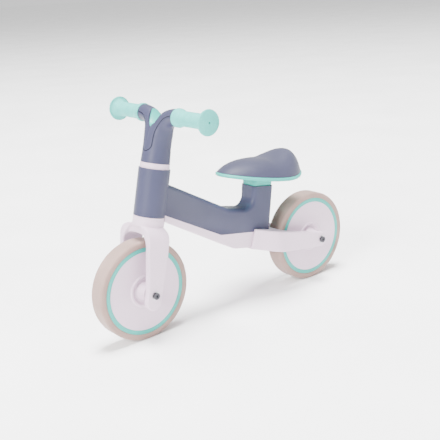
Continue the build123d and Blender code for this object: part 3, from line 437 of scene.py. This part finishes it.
def saddle(y, b):
    # level = valley(b) + (side(b) - valley(b)) * |y/w|^1.35: the valley climbs from front
    # to rear, and the sides follow the arms' round tops
    front, rear = insertEdges(y)
    b = np.clip(b, rear, front)
    share = (b - insert["rear"]) / (insert["front"] - insert["rear"])
    valley = insert["rearValley"] + (insert["frontValley"] - insert["rearValley"]) * share
    side = insert["sideMiddle"] + np.sqrt(np.maximum(insert["sideRadius"] ** 2 - b ** 2, 0))
    rise = (np.clip(np.abs(y) / insert["halfWidth"], 0, 1) ** 2 + 0.002) ** 0.675
    return valley + (side - valley) * rise


def makeInsert():
    # the saddle's top and sloping walls down to a sunken foot, closed underneath
    y = np.linspace(-1, 1, insert["acrossSteps"])[:, None] * insert["halfWidth"]
    b = np.linspace(0, 1, insert["depthSteps"])[None, :]
    front, rear = insertEdges(y)
    depth = rear + (front - rear) * b
    lip = insert["lip"] * np.exp(-((1 - b) / insert["lipShare"]) ** 2)
    top = np.stack([y + 0 * b, depth, saddle(y, depth) + lip + 0 * depth], -1)
    drawn = np.array([insert["footShare"], insert["footShare"], 1])
    under = top * drawn - np.array([0, 0, insert["thickness"]])
    grid = np.concatenate([top, under[::-1]])
    points = steered(grid[..., 0], grid[..., 1], grid[..., 2])
    rows, columns = grid.shape[:2]
    faces = gridFaces(rows, columns, True, False)
    index = np.arange(rows * columns).reshape(rows, columns)
    half = insert["acrossSteps"]
    for edge in (0, -1):
        upper, lower = index[:half, edge], index[half:, edge][::-1]
        strip = np.stack([upper[:-1], lower[:-1], lower[1:], upper[1:]], -1)
        faces += (strip if edge == 0 else strip[:, ::-1]).tolist()
    finishPiece("crotchInsert", points, faces, "mint_plastic", "steering",
                ("crotch_insert",), 50)


makeInsert()
print("insert made")


# stem

stem = {"bottom": 236.4 * mm, "bottomRadius": 27.0 * mm, "armRadius": 15.3 * mm,
        "armEnd": 52.4 * mm, "pegRadius": 9.5 * mm, "pegEnd": 132 * mm,
        "pathLift": 292 * mm, "pathTurn": 11 * mm,
        "radiusAt": (0, 0.42, 0.62, 0.8, 1), "midRadii": (22.6 * mm, 18.2 * mm, 15.6 * mm),
        "radiusBlend": 41, "pinch": 0.05 * mm,
        "grooveDepth": 1.5 * mm, "grooveWidth": 0.62 * mm, "grooveFront": 4 * mm,
        "coverHalfWidth": 13.5 * mm, "coverBottom": 257 * mm,
        "coverBulge": 0.5 * mm, "coverTurn": 304 * mm, "coverArm": 26 * mm,
        "alongSteps": 230, "roundSteps": 150}


def cubic(a, b, c, d, t):
    # (1-t)^3 a + 3t(1-t)^2 b + 3t^2(1-t) c + t^3 d
    return (1 - t) ** 3 * a + 3 * t * (1 - t) ** 2 * b + 3 * t ** 2 * (1 - t) * c + t ** 3 * d


def coverLine(samples):
    # half of the front cover's outline: a quarter circle at the foot, then a curve
    # that bends out along the arm, as a cubic with four control points
    half, foot = stem["coverHalfWidth"], stem["coverBottom"]
    turn = np.linspace(0, math.pi / 2, samples)[:, None]
    centre = np.array([0, foot + half])
    arc = centre + half * np.hstack([np.sin(turn), -np.cos(turn)])
    armLevel = barCentre + 1 * mm
    a, b = np.array([half, foot + half]), np.array([half + stem["coverBulge"], stem["coverTurn"]])
    c, d = np.array([stem["coverArm"], armLevel]), np.array([stem["armEnd"], armLevel])
    return np.vstack([arc, cubic(a, b, c, d, np.linspace(0, 1, 3 * samples)[:, None])])


def makeStem():
    # Each half is a tube about a cubic path from the column's foot to the arm's end, cut
    # at the middle plane: its angle runs to +-acos(-y / (r * ny)), where the circle
    # meets that plane, or right round where it clears it.
    t = np.linspace(0, 1, stem["alongSteps"])
    a, b = np.array([0, stem["bottom"]]), np.array([0, stem["pathLift"]])
    c = np.array([stem["pathTurn"], barCentre])
    d = np.array([stem["armEnd"], barCentre])
    s = t[:, None]
    path = cubic(a, b, c, d, s)
    slope = 3 * (1 - s) ** 2 * (b - a) + 6 * s * (1 - s) * (c - b) + 3 * s ** 2 * (d - c)
    slope /= np.linalg.norm(slope, axis=1)[:, None]
    outward = np.stack([slope[:, 1], -slope[:, 0]], -1)
    radii = [stem["bottomRadius"], *stem["midRadii"], stem["armRadius"]]
    narrowing = np.interp(t, stem["radiusAt"], radii)
    kernel = np.hanning(stem["radiusBlend"]) / np.hanning(stem["radiusBlend"]).sum()
    margin = stem["radiusBlend"] // 2
    radius = np.convolve(np.pad(narrowing, margin, mode="edge"), kernel, mode="valid")
    reach = np.arccos(np.clip(-path[:, 0] / np.maximum(radius * outward[:, 0], 1e-9), -1, 1))
    v = np.linspace(-1, 1, stem["roundSteps"])[None, :]
    angle = v * reach[:, None]
    across = path[:, 0:1] + radius[:, None] * np.cos(angle) * outward[:, 0:1]
    level = path[:, 1:2] + radius[:, None] * np.cos(angle) * outward[:, 1:2]
    depth = -radius[:, None] * np.sin(angle)
    # where the insert lies, the skin drops just under its saddle
    under = saddle(across, depth) - insert["proud"]
    level = np.where(across < insert["halfWidth"], np.minimum(level, under), level)
    # the groove round the cover, where the surface faces forward
    line = coverLine(40)
    away = np.sqrt((across[..., None] - line[:, 0]) ** 2 + (level[..., None] - line[:, 1]) ** 2)
    sunk = stem["grooveDepth"] * np.exp(-(away.min(-1) / stem["grooveWidth"]) ** 2)
    sunk = sunk * (depth > stem["grooveFront"])
    # painted shade: the groove's depth, scaled, says how far the colour is darkened, as if shade
    # fell in it
    paintedGrooveShade = np.clip(sunk / stem["grooveDepth"] * 1.6, 0, 1)
    depth = depth - sunk * np.clip(-np.sin(angle), 0, 1)
    # the arm's end is closed by a peg inside the grip
    ends = [(stem["armEnd"], stem["pegRadius"]), (stem["pegEnd"], stem["pegRadius"]),
            (stem["pegEnd"], stem["pinch"])]
    turn = math.pi * v[0]
    rows = [np.stack([np.full_like(turn, y), -r * np.sin(turn), barCentre - r * np.cos(turn)], -1)
            for y, r in ends]
    footRow = np.stack([stem["pinch"] * np.cos(angle[0]), -stem["pinch"] * np.sin(angle[0]),
                        np.full_like(angle[0], stem["bottom"])], -1)
    body = np.stack([across, depth, level], -1)
    grid = np.concatenate([footRow[None], body, np.array(rows)])
    half = steered(grid[..., 0], grid[..., 1], grid[..., 2])
    other = half * np.array([1, -1, 1])
    faces = np.array(gridFaces(*half.shape[:2]))
    count = half.shape[0] * half.shape[1]
    allFaces = np.vstack([faces, faces[:, ::-1] + count]).tolist()
    points = np.concatenate([half.reshape(-1, 3), other.reshape(-1, 3)])
    piece = finishPiece("stem", points, allFaces, "slate_plastic", "steering",
                        ("handlebar_stem", "stem_cover"), 50)
    # the painted groove shade goes on the mesh as a per-point mask that the material reads
    shade = np.concatenate([np.zeros((1, stem["roundSteps"])), paintedGrooveShade,
                            np.zeros((len(ends), stem["roundSteps"]))]).ravel()
    mark = piece.data.attributes.new("paintedShadeMask", "FLOAT", "POINT")
    mark.data.foreach_set("value", np.concatenate([shade, shade]).astype(np.float32))
    weld(piece, 0.12 * mm)


makeStem()
print("stem made")


# grips

grip = {"inner": 52.5 * mm, "outer": 141.75 * mm, "flange": 17.0 * mm, "waist": 13.5 * mm,
        "end": 22.8 * mm, "startRadius": 15.4 * mm, "bore": 9.6 * mm, "hole": 1.6 * mm,
        "endThickness": 5 * mm, "flangeRoll": 1.6 * mm, "dropStart": 5 * mm,
        "dropLength": 15 * mm, "flareLength": 12 * mm, "rimRoll": 0.5 * mm,
        "rimWidth": 2.6 * mm, "crown": 1.9 * mm, "holeDepth": 4 * mm, "plug": 9.5 * mm,
        "steps": 160}


def makeGrip(side, way):
    # a profile turned about the bar: rounded flange, straight waist, and a flare that
    # widens as a quarter ellipse into a domed end with a small hole in its middle
    inner, outer, end = grip["inner"], grip["outer"], grip["end"]
    flareStart = outer - grip["endThickness"]
    turn = np.linspace(0, math.pi / 2, 12)
    flangeRise = grip["flange"] - grip["startRadius"]
    flange = np.stack([inner + grip["flangeRoll"] * (1 - np.cos(turn)),
                       grip["startRadius"] + flangeRise * np.sin(turn)], -1)
    t = np.linspace(0, 1, 30)
    ease = t * t * (3 - 2 * t)
    drop = np.stack([inner + grip["dropStart"] + grip["dropLength"] * t,
                     grip["flange"] + (grip["waist"] - grip["flange"]) * ease], -1)
    roll, flareLength = grip["rimRoll"], grip["flareLength"]
    flare = np.stack([flareStart - flareLength + flareLength * np.sin(turn),
                      end - roll - (end - roll - grip["waist"]) * np.cos(turn)], -1)
    barrelStart = inner + grip["dropStart"] + grip["dropLength"] + 1 * mm
    barrelEnd = flareStart - flareLength - 1 * mm
    barrel = np.stack([np.linspace(barrelStart, barrelEnd, 40), np.full(40, grip["waist"])], -1)
    rim = np.stack([flareStart + grip["rimWidth"] * (1 - np.cos(2 * turn)) / 2 + 0.2 * mm,
                    end - roll * np.cos(2 * turn) ** 2], -1)
    r = np.linspace(end - 0.8 * mm, grip["hole"], 30)
    dome = np.stack([outer - grip["crown"] * (r / end) ** 2.4, r], -1)
    plugFace = outer - grip["plug"]
    inside = np.array([[outer - grip["holeDepth"], grip["hole"]], [plugFace, grip["hole"]],
                       [plugFace, grip["bore"]], [inner, grip["bore"]]])
    profile = np.concatenate([flange, drop, barrel, flare, rim, dome, inside])
    profile[:, 0] *= way
    turned(side + "Grip", barMiddle, profile, grip["steps"], "mint_rubber",
           "steering", (side + "_grip",), 60)


for side, way in (("left", 1), ("right", -1)):
    makeGrip(side, way)
print("grips made")


# fork and rear fork

forkLook = {"grid": 1.1 * mm, "easing": 22}
yokeLook = {"grid": 1.1 * mm, "easing": 40}
forkShape = {"creaseTop": 19 * mm, "creaseFoot": 36 * mm, "levelTop": 121 * mm,
             "levelFoot": 97 * mm, "dip": 5 * mm, "soft": 5 * mm, "peak": 2.5 * mm,
             "archHalf": 34 * mm, "shoulderY": 23 * mm, "shoulderLevel": 95 * mm,
             "shoulderRadius": 26.4 * mm, "dipTop": (123 * mm, 9 * mm),
             "dipFront": (6 * mm, 8 * mm), "dipFoot": (90 * mm, 6 * mm),
             "archTop": (116 * mm, 10 * mm), "archFoot": (92 * mm, 6 * mm),
             "grooves": (123.5 * mm, 134.0 * mm), "grooveWidth": 0.8 * mm,
             "neckRadius": 34 * mm}


def smooth(value):
    # 3t^2 - 2t^3 of the value held between 0 and 1
    share = np.clip(value, 0, 1)
    return share * share * (3 - 2 * share)


def rampUp(value, ramp):
    # 0 up to the ramp's start, rising smoothly to 1 over its length
    return smooth((value - ramp[0]) / ramp[1])


def rampDown(value, ramp):
    # 0 down to the ramp's start, rising smoothly to 1 over its length
    return smooth((ramp[0] - value) / ramp[1])


def makeFork():
    # the crown's front dips back between the legs, inside a crease that spreads from the
    # neck down to the legs' inner faces, and the arch rises to a blunt peak
    piece = softened("forkMoulding", "fork", forkLook, "white_plastic", "steering")
    mesh = piece.data
    points = np.zeros(len(mesh.vertices) * 3)
    mesh.vertices.foreach_get("co", points)
    points = points.reshape(-1, 3)
    away = points - frontAxle
    y, b, level = away[:, 1], away @ steerForward, away @ steerUp
    shape = forkShape
    down = np.clip((shape["levelTop"] - level) / (shape["levelTop"] - shape["levelFoot"]), 0, 1)
    crease = shape["creaseTop"] + (shape["creaseFoot"] - shape["creaseTop"]) * down
    inside = 1 - smooth((np.abs(y) - crease + shape["soft"]) / shape["soft"])
    dip = (shape["dip"] * inside * rampDown(level, shape["dipTop"])
           * rampUp(b, shape["dipFront"]) * rampUp(level, shape["dipFoot"]))
    lift = (shape["peak"] * (1 - np.abs(y) / shape["archHalf"]).clip(0, 1)
            * rampDown(level, shape["archTop"]) * rampUp(level, shape["archFoot"]))
    points = points - dip[:, None] * steerForward + lift[:, None] * steerUp
    # the shoulders are pulled in to a round corner
    out, up = np.abs(y) - shape["shoulderY"], level - shape["shoulderLevel"]
    far = np.hypot(out, up)
    over = np.where((out > 0) & (up > 0), np.maximum(far - shape["shoulderRadius"], 0), 0)
    points[:, 1] -= np.sign(y) * over * out / far
    points -= (over * up / far)[:, None] * steerUp
    mesh.vertices.foreach_set("co", points.ravel())
    mesh.update()
    # a faint shade in the neck's two grooves
    near = np.hypot(y, b) < shape["neckRadius"]
    lines = sum(np.exp(-((level - groove) / shape["grooveWidth"]) ** 2)
                for groove in shape["grooves"])
    mark = mesh.attributes.new("paintedShadeMask", "FLOAT", "POINT")
    mark.data.foreach_set("value", (0.5 * lines * near).astype(np.float32))


neck = {"inner": 28.4 * mm, "outer": 29.4 * mm, "foot": 120.6 * mm, "head": 138.2 * mm,
        "grooves": (124.5 * mm, 134.2 * mm), "grooveDepth": 0.6 * mm, "grooveWidth": 0.5 * mm,
        "edge": 0.5 * mm, "rows": 90, "steps": 180}


def makeNeck():
    # a thin skirt round the steering stops: radius = outer less a bell-shaped groove at
    # two levels, turned about the steering axis
    level = np.linspace(neck["foot"], neck["head"], neck["rows"])
    radius = np.full(neck["rows"], neck["outer"])
    for groove in neck["grooves"]:
        radius -= neck["grooveDepth"] * np.exp(-((level - groove) / neck["grooveWidth"]) ** 2)
    nearEnd = np.minimum(level - neck["foot"], neck["head"] - level)
    radius -= neck["edge"] * np.clip(1 - nearEnd / neck["edge"], 0, 1) ** 2
    level = np.append(level, [neck["head"], neck["foot"]])[None, :]
    radius = np.append(radius, [neck["inner"], neck["inner"]])[None, :]
    angle = np.linspace(0, 2 * math.pi, neck["steps"], endpoint=False)[:, None]
    points = steered(radius * np.sin(angle), radius * np.cos(angle), level)
    faces = gridFaces(neck["steps"], neck["rows"] + 2, True, True)
    finishPiece("neckSkirt", points, faces, "white_plastic", "steering", (), 50)


makeFork()
makeNeck()
softened("rearForkMoulding", "rear_fork", yokeLook, "white_plastic", "frame")
print("forks made")


# seat, and the frame shell, whose seat tube's mouth meets it

seat = {"front": 13 * mm, "rear": -184 * mm, "wideX": -106 * mm, "halfWidth": 66 * mm,
        "noseHalfWidth": 34 * mm, "roundness": 0.56, "planeX": -80 * mm,
        "planeZ": 252 * mm, "pitch": 8, "tray": 6.9 * mm, "inset": 2.6 * mm,
        "noseHeight": 25.9 * mm, "rearHeight": 63.8 * mm, "growFrom": -10.6 * mm,
        "growLength": 107 * mm, "fullness": 3.56, "shoulder": 0.88, "middle": -24.6 * mm,
        "endLift": 4 * mm, "sideDrop": 6.3 * mm, "tailIn": 0.9 * mm, "noseOut": 3.4 * mm,
        "tailLift": 5.5 * mm, "curlFrom": -30 * mm, "curlLength": 74 * mm, "rimRadius": 3 * mm,
        "neckDrop": 2.8 * mm, "neckFoot": 234 * mm, "mouthAbove": 230 * mm,
        "postReach": 6 * mm, "cutSlack": 0.02 * mm, "padGap": 0.4 * mm, "restGap": 0.1 * mm,
        "roundSteps": 144, "ringSteps": 44}


def seatOutline(inset, samples):
    # two cubics from the nose round to the tail, and their mirror image
    front = seat["front"] - seat["planeX"] + seat["noseOut"] - inset
    rear = seat["rear"] - seat["planeX"] - seat["tailIn"] + inset
    wide = seat["wideX"] - seat["planeX"]
    half, nose = seat["halfWidth"] - inset, seat["noseHalfWidth"] - inset
    share = seat["roundness"]
    controls = [[(front, 0), (front, nose), (wide + (front - wide) / 2, half), (wide, half)],
                [(wide, half), (wide + (rear - wide) * share, half), (rear, half * share),
                 (rear, 0)]]
    t = np.linspace(0, 1, samples // 4, endpoint=False)[:, None]
    side = np.vstack([cubic(a, b, c, d, t) for a, b, c, d in np.array(controls)])
    tail = np.array([[rear, 0]])
    return np.vstack([side, tail, side[:0:-1] * np.array([1, -1])])


def seatPlaced(along, across, above):
    # the seat's plane tilts nose up; its sides bend down as the square of y, and the
    # tail curls up as the square of the way back
    pitch = math.radians(seat["pitch"])
    curl = np.clip((seat["curlFrom"] - along) / seat["curlLength"], 0, 1)
    above = (above + seat["endLift"] - seat["sideDrop"] * (across / seat["halfWidth"]) ** 2
             + seat["tailLift"] * curl ** 2)
    x = seat["planeX"] + along * math.cos(pitch) - above * math.sin(pitch)
    z = seat["planeZ"] + along * math.sin(pitch) + above * math.cos(pitch)
    return np.stack([x, across + 0 * x, z], -1)


def makeCushion():
    # a crowned pad: over the plan drawn in to a share q of its outline the height is
    # H(x) * (1 - q^fullness)^shoulder, and H grows smoothly from the nose to the tail
    outline = seatOutline(seat["inset"], seat["roundSteps"])
    q = np.sin(np.linspace(math.pi / 2, 0, seat["ringSteps"]))[:, None, None]
    middle = np.array([seat["middle"], 0])
    plan = middle + (outline - middle)[None] * q
    away = np.clip((seat["growFrom"] - plan[..., 0]) / seat["growLength"], 0, 1)
    grow = away ** 2 * (3 - 2 * away)
    height = seat["noseHeight"] + (seat["rearHeight"] - seat["noseHeight"]) * grow
    crown = np.maximum(1 - q[..., 0] ** seat["fullness"], 0) ** seat["shoulder"]
    top = seatPlaced(plan[..., 0], plan[..., 1], seat["tray"] + seat["padGap"] + height * crown)
    # underneath it tucks in and lies flat on the tray, with room for the board
    shares = np.array([0.985, 0.9, 0.5, 0.0])[:, None, None]
    rest = middle + (outline - middle)[None] * shares
    floor = np.full(rest.shape[:2], seat["tray"] + seat["restGap"])
    under = seatPlaced(rest[..., 0], rest[..., 1], floor)
    grid = np.concatenate([under[::-1], top])
    faces = gridFaces(grid.shape[0], grid.shape[1], False, True)
    piece = finishPiece("seatCushion", grid, faces, "slate_cushion", "seat",
                        ("seat_cushion", "seat_board"), 70)
    weld(piece, 0.05 * mm)


def makeTray():
    # the rim is an outline whose inset and height follow a rounded edge; below it the
    # node's own neck and post carry on, reaching up into the tray
    r, tall = seat["rimRadius"], seat["tray"]
    turn = np.linspace(0, math.pi / 2, 9)
    insets = np.concatenate([r * (1 - np.sin(turn)), r * (1 - np.cos(turn))])
    heights = np.concatenate([r * (1 - np.cos(turn)), tall - r + r * np.sin(turn)])
    rim = np.array([seatOutline(inset, seat["roundSteps"]) for inset in insets])
    middle = np.array([seat["middle"], 0])
    shares = np.array([0, 0.25, 0.5, 0.75, 0.9])[:, None, None]
    below = middle + (rim[0] - middle)[None] * shares
    above = middle + (rim[-1] - middle)[None] * shares[::-1]
    plan = np.concatenate([below, rim, above])
    level = np.concatenate([np.zeros(5), heights, np.full(5, tall)])[:, None]
    grid = seatPlaced(plan[..., 0], plan[..., 1], level + 0 * plan[..., 0])
    faces = gridFaces(grid.shape[0], grid.shape[1], False, True)
    post = bmesh.new()
    post.from_mesh(mergedCopy("seat_base"))
    pitch = math.radians(seat["pitch"])
    normal = Vector((-math.sin(pitch), 0, math.cos(pitch)))
    origin = Vector((seat["planeX"], 0, seat["planeZ"]))
    gone = [face for face in post.faces
            if min((vert.co - origin).dot(normal) for vert in face.verts) > -seat["cutSlack"]]
    bmesh.ops.delete(post, geom=gone, context="FACES")
    for vert in post.verts:
        if (vert.co - origin).dot(normal) > -seat["cutSlack"]:
            vert.co += normal * seat["postReach"]
        elif vert.co.z > seat["neckFoot"]:
            vert.co.z -= seat["neckDrop"]
    rims = [edge for edge in post.edges if edge.is_boundary]
    bmesh.ops.holes_fill(post, edges=rims)
    bmesh.ops.triangulate(post, faces=[face for face in post.faces if len(face.verts) > 4])
    post.verts.ensure_lookup_table()
    post.verts.index_update()
    base = grid.shape[0] * grid.shape[1]
    faces += [[vert.index + base for vert in face.verts] for face in post.faces]
    corners = np.array([tuple(vert.co) for vert in post.verts])
    post.free()
    points = np.concatenate([grid.reshape(-1, 3), corners])
    piece = finishPiece("seatTray", points, faces, "mint_plastic", "seat", ("seat_base",), 35)
    weld(piece, 0.03 * mm)


def makeShell():
    # the node's own skin with the seat tube's mouth a little lower
    skin = bmesh.new()
    skin.from_mesh(mergedCopy("frame_shell"))
    for vert in skin.verts:
        if vert.co.z > seat["mouthAbove"] and vert.co.x < 0:
            vert.co.z -= seat["neckDrop"]
    mesh = bpy.data.meshes.new("frameShell")
    skin.to_mesh(mesh)
    skin.free()
    mesh.materials.clear()
    mesh.materials.append(materials["slate_plastic"])
    mesh.polygons.foreach_set("use_smooth", [True] * len(mesh.polygons))
    mesh.set_sharp_from_angle(angle=math.radians(30))
    piece = bpy.data.objects.new("frameShell", mesh)
    bpy.context.scene.collection.objects.link(piece)
    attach(piece, "frame")
    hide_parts("frame_shell")


makeShell()
makeCushion()
makeTray()
print("seat made")


# trim rings of the wheels

trim = {"inner": 75.25 * mm, "outer": 83.35 * mm, "floor": 14.95 * mm, "face": 17.2 * mm,
        "edge": 0.9 * mm, "steps": 220}


def makeTrim(end, side, way, axle, body):
    # a flat band with eased edges, turned about the axle
    corners = [(trim["floor"], trim["inner"]), (trim["face"], trim["inner"]),
               (trim["face"], trim["outer"]), (trim["floor"], trim["outer"])]
    profile = roundedLine(corners, trim["edge"])
    profile[:, 0] *= way
    turned(f"{end}{side.capitalize()}Trim", axle, profile, trim["steps"], "mint_plastic",
           body, (f"{end}_{side}_ring",), 60)


for end, axle in (("front", frontAxle), ("rear", rearAxle)):
    for side, way in (("left", 1), ("right", -1)):
        makeTrim(end, side, way, axle, end + "_wheel")
print("trim rings made")


# the wheels' left discs

disc = {"seat": 74.0 * mm, "flange": 83.4 * mm, "flangeInner": 12.6 * mm, "ledge": 14.9 * mm,
        "ringInner": 75.2 * mm, "face": 16.9 * mm, "dish": 14.7 * mm, "wall": 4 * mm,
        "ringRadius": 28 * mm, "ringHeight": 1.7 * mm, "ringWidth": 3 * mm,
        "moatRadius": 21.5 * mm, "moatDepth": 2.6 * mm, "moatWidth": 2.6 * mm,
        "coneRadius": 18 * mm, "coneStart": 15.4 * mm, "coneEnd": 30.9 * mm,
        "coneTop": 13 * mm, "coneRound": 1.2 * mm, "coneShoulder": 0.8 * mm,
        "bearing": 11.02 * mm, "pocket": 23.7 * mm, "bore": 9 * mm, "hubWall": 14.5 * mm,
        "web": 3 * mm, "steps": 200}


def makeDisc(end, axle):
    # half a wheel's section turned about the axle: a shallow dish, a raised ring
    # and a moat round the hub's cone, each a bell curve of the radius
    d = disc
    r = np.linspace(d["ringInner"], d["coneRadius"], 130)
    share = (r - d["coneRadius"]) / (d["ringInner"] - d["coneRadius"])
    face = d["dish"] + (d["face"] - d["dish"]) * share ** 1.5
    face += d["ringHeight"] * np.exp(-((r - d["ringRadius"]) / d["ringWidth"]) ** 4)
    face -= d["moatDepth"] * np.exp(-((r - d["moatRadius"]) / d["moatWidth"]) ** 2)
    turn = np.linspace(0, 1, 14)
    cone = np.stack([
        d["coneStart"] + (d["coneEnd"] - d["coneRound"] - d["coneStart"]) * turn,
        d["coneRadius"] - (d["coneRadius"] - d["coneTop"] - d["coneShoulder"]) * turn ** 0.7], -1)
    # the cone's rim, the bearing's pocket, the bore, the hub and web, then the rim barrel
    tip = np.array([
        [d["coneEnd"] - 0.3 * mm, d["coneTop"] + 0.2 * mm], [d["coneEnd"], d["coneTop"] - 0.6 * mm],
        [d["coneEnd"], d["bearing"]], [d["pocket"], d["bearing"]], [d["pocket"], d["bore"]],
        [0, d["bore"]], [0, d["hubWall"]], [d["dish"] - d["web"] - 1 * mm, d["hubWall"]],
        [d["flangeInner"] - d["web"], d["seat"] - d["wall"]], [0, d["seat"] - d["wall"]],
        [0, d["seat"]], [d["flangeInner"], d["seat"]], [d["flangeInner"], d["flange"]],
        [d["ledge"], d["flange"]], [d["ledge"], d["ringInner"]]])
    profile = np.concatenate([np.stack([face, r], -1), cone, tip])
    turned(end + "LeftDisc", axle, profile, d["steps"], "white_plastic",
           end + "_wheel", (end + "_left_disc",), 35)


for end, axle in (("front", frontAxle), ("rear", rearAxle)):
    makeDisc(end, axle)
print("discs made")


# floor, light and camera

stage = {"floorSize": 60.0, "floorColour": (0.99, 0.99, 0.99, 1), "skyStrength": 1.0,
         "aimHeight": 0.18,
         # place, size across and power of each light
         "key": ((-2.1, 6.9, 3.0), 2.8, 50), "front": ((6.8, 2.0, 4.0), 3.4, 1500),
         "top": ((0.0, 0.0, 7.0), 3.0, 1950)}


def makeFloor():
    # one wide square in pale matt paint
    half = stage["floorSize"] / 2
    corners = np.array([(-half, -half, 0), (half, -half, 0), (half, half, 0), (-half, half, 0)])
    mesh = bpy.data.meshes.new("floor")
    mesh.from_pydata(corners.tolist(), [], [(0, 1, 2, 3)])
    material, tree, shader, place = startMaterial("floorPaint")
    shade = spread(tree, noise(tree, place, 3, 2), 0, 1)
    tree.links.new(mixColour(tree, shade, (0.92, 0.92, 0.92, 1), stage["floorColour"]),
                   shader.inputs["Base Color"])
    shader.inputs["Roughness"].default_value = 0.9
    shader.inputs["Specular IOR Level"].default_value = 0.1
    mesh.materials.append(material)
    floor = bpy.data.objects.new("floor", mesh)
    bpy.context.scene.collection.objects.link(floor)


def makeLight(name, place, size, power):
    # a soft disc of light aimed at the middle of the bike
    data = bpy.data.lights.new(name, "AREA")
    data.shape = "DISK"
    data.size = size
    data.energy = power
    light = bpy.data.objects.new(name, data)
    bpy.context.scene.collection.objects.link(light)
    light.location = place
    aim = Vector((0, 0, stage["aimHeight"])) - Vector(place)
    light.rotation_euler = aim.to_track_quat("-Z", "Y").to_euler()


def makeSky():
    # even white light from all round
    world = bpy.data.worlds.new("studioSky")
    world.use_nodes = True
    background = world.node_tree.nodes["Background"]
    background.inputs["Color"].default_value = (1, 1, 1, 1)
    background.inputs["Strength"].default_value = stage["skyStrength"]
    bpy.context.scene.world = world


camera = {"azimuth": 51.87, "elevation": 17.03, "roll": -3.28, "lens": 64.27,
          "place": (0.9319, 1.1638, 0.6355)}


def makeCamera():
    # it looks along -back, which the azimuth and elevation give, rolled about that line
    data = bpy.data.cameras.new("camera")
    data.lens = camera["lens"]
    data.sensor_width = 36
    data.clip_end = 200
    eye = bpy.data.objects.new("camera", data)
    bpy.context.scene.collection.objects.link(eye)
    turn, rise = math.radians(camera["azimuth"]), math.radians(camera["elevation"])
    back = Vector((math.cos(turn) * math.cos(rise), math.sin(turn) * math.cos(rise),
                   math.sin(rise)))
    right = (-back).cross(Vector((0, 0, 1))).normalized()
    up = right.cross(-back)
    roll = math.radians(camera["roll"])
    right, up = (math.cos(roll) * right + math.sin(roll) * up,
                 -math.sin(roll) * right + math.cos(roll) * up)
    columns = Matrix((right, up, back)).transposed().to_4x4()
    eye.matrix_world = Matrix.Translation(camera["place"]) @ columns
    bpy.context.scene.camera = eye


makeFloor()
makeSky()
for name in ("key", "front", "top"):
    makeLight(name, *stage[name])
makeCamera()
print("stage made")
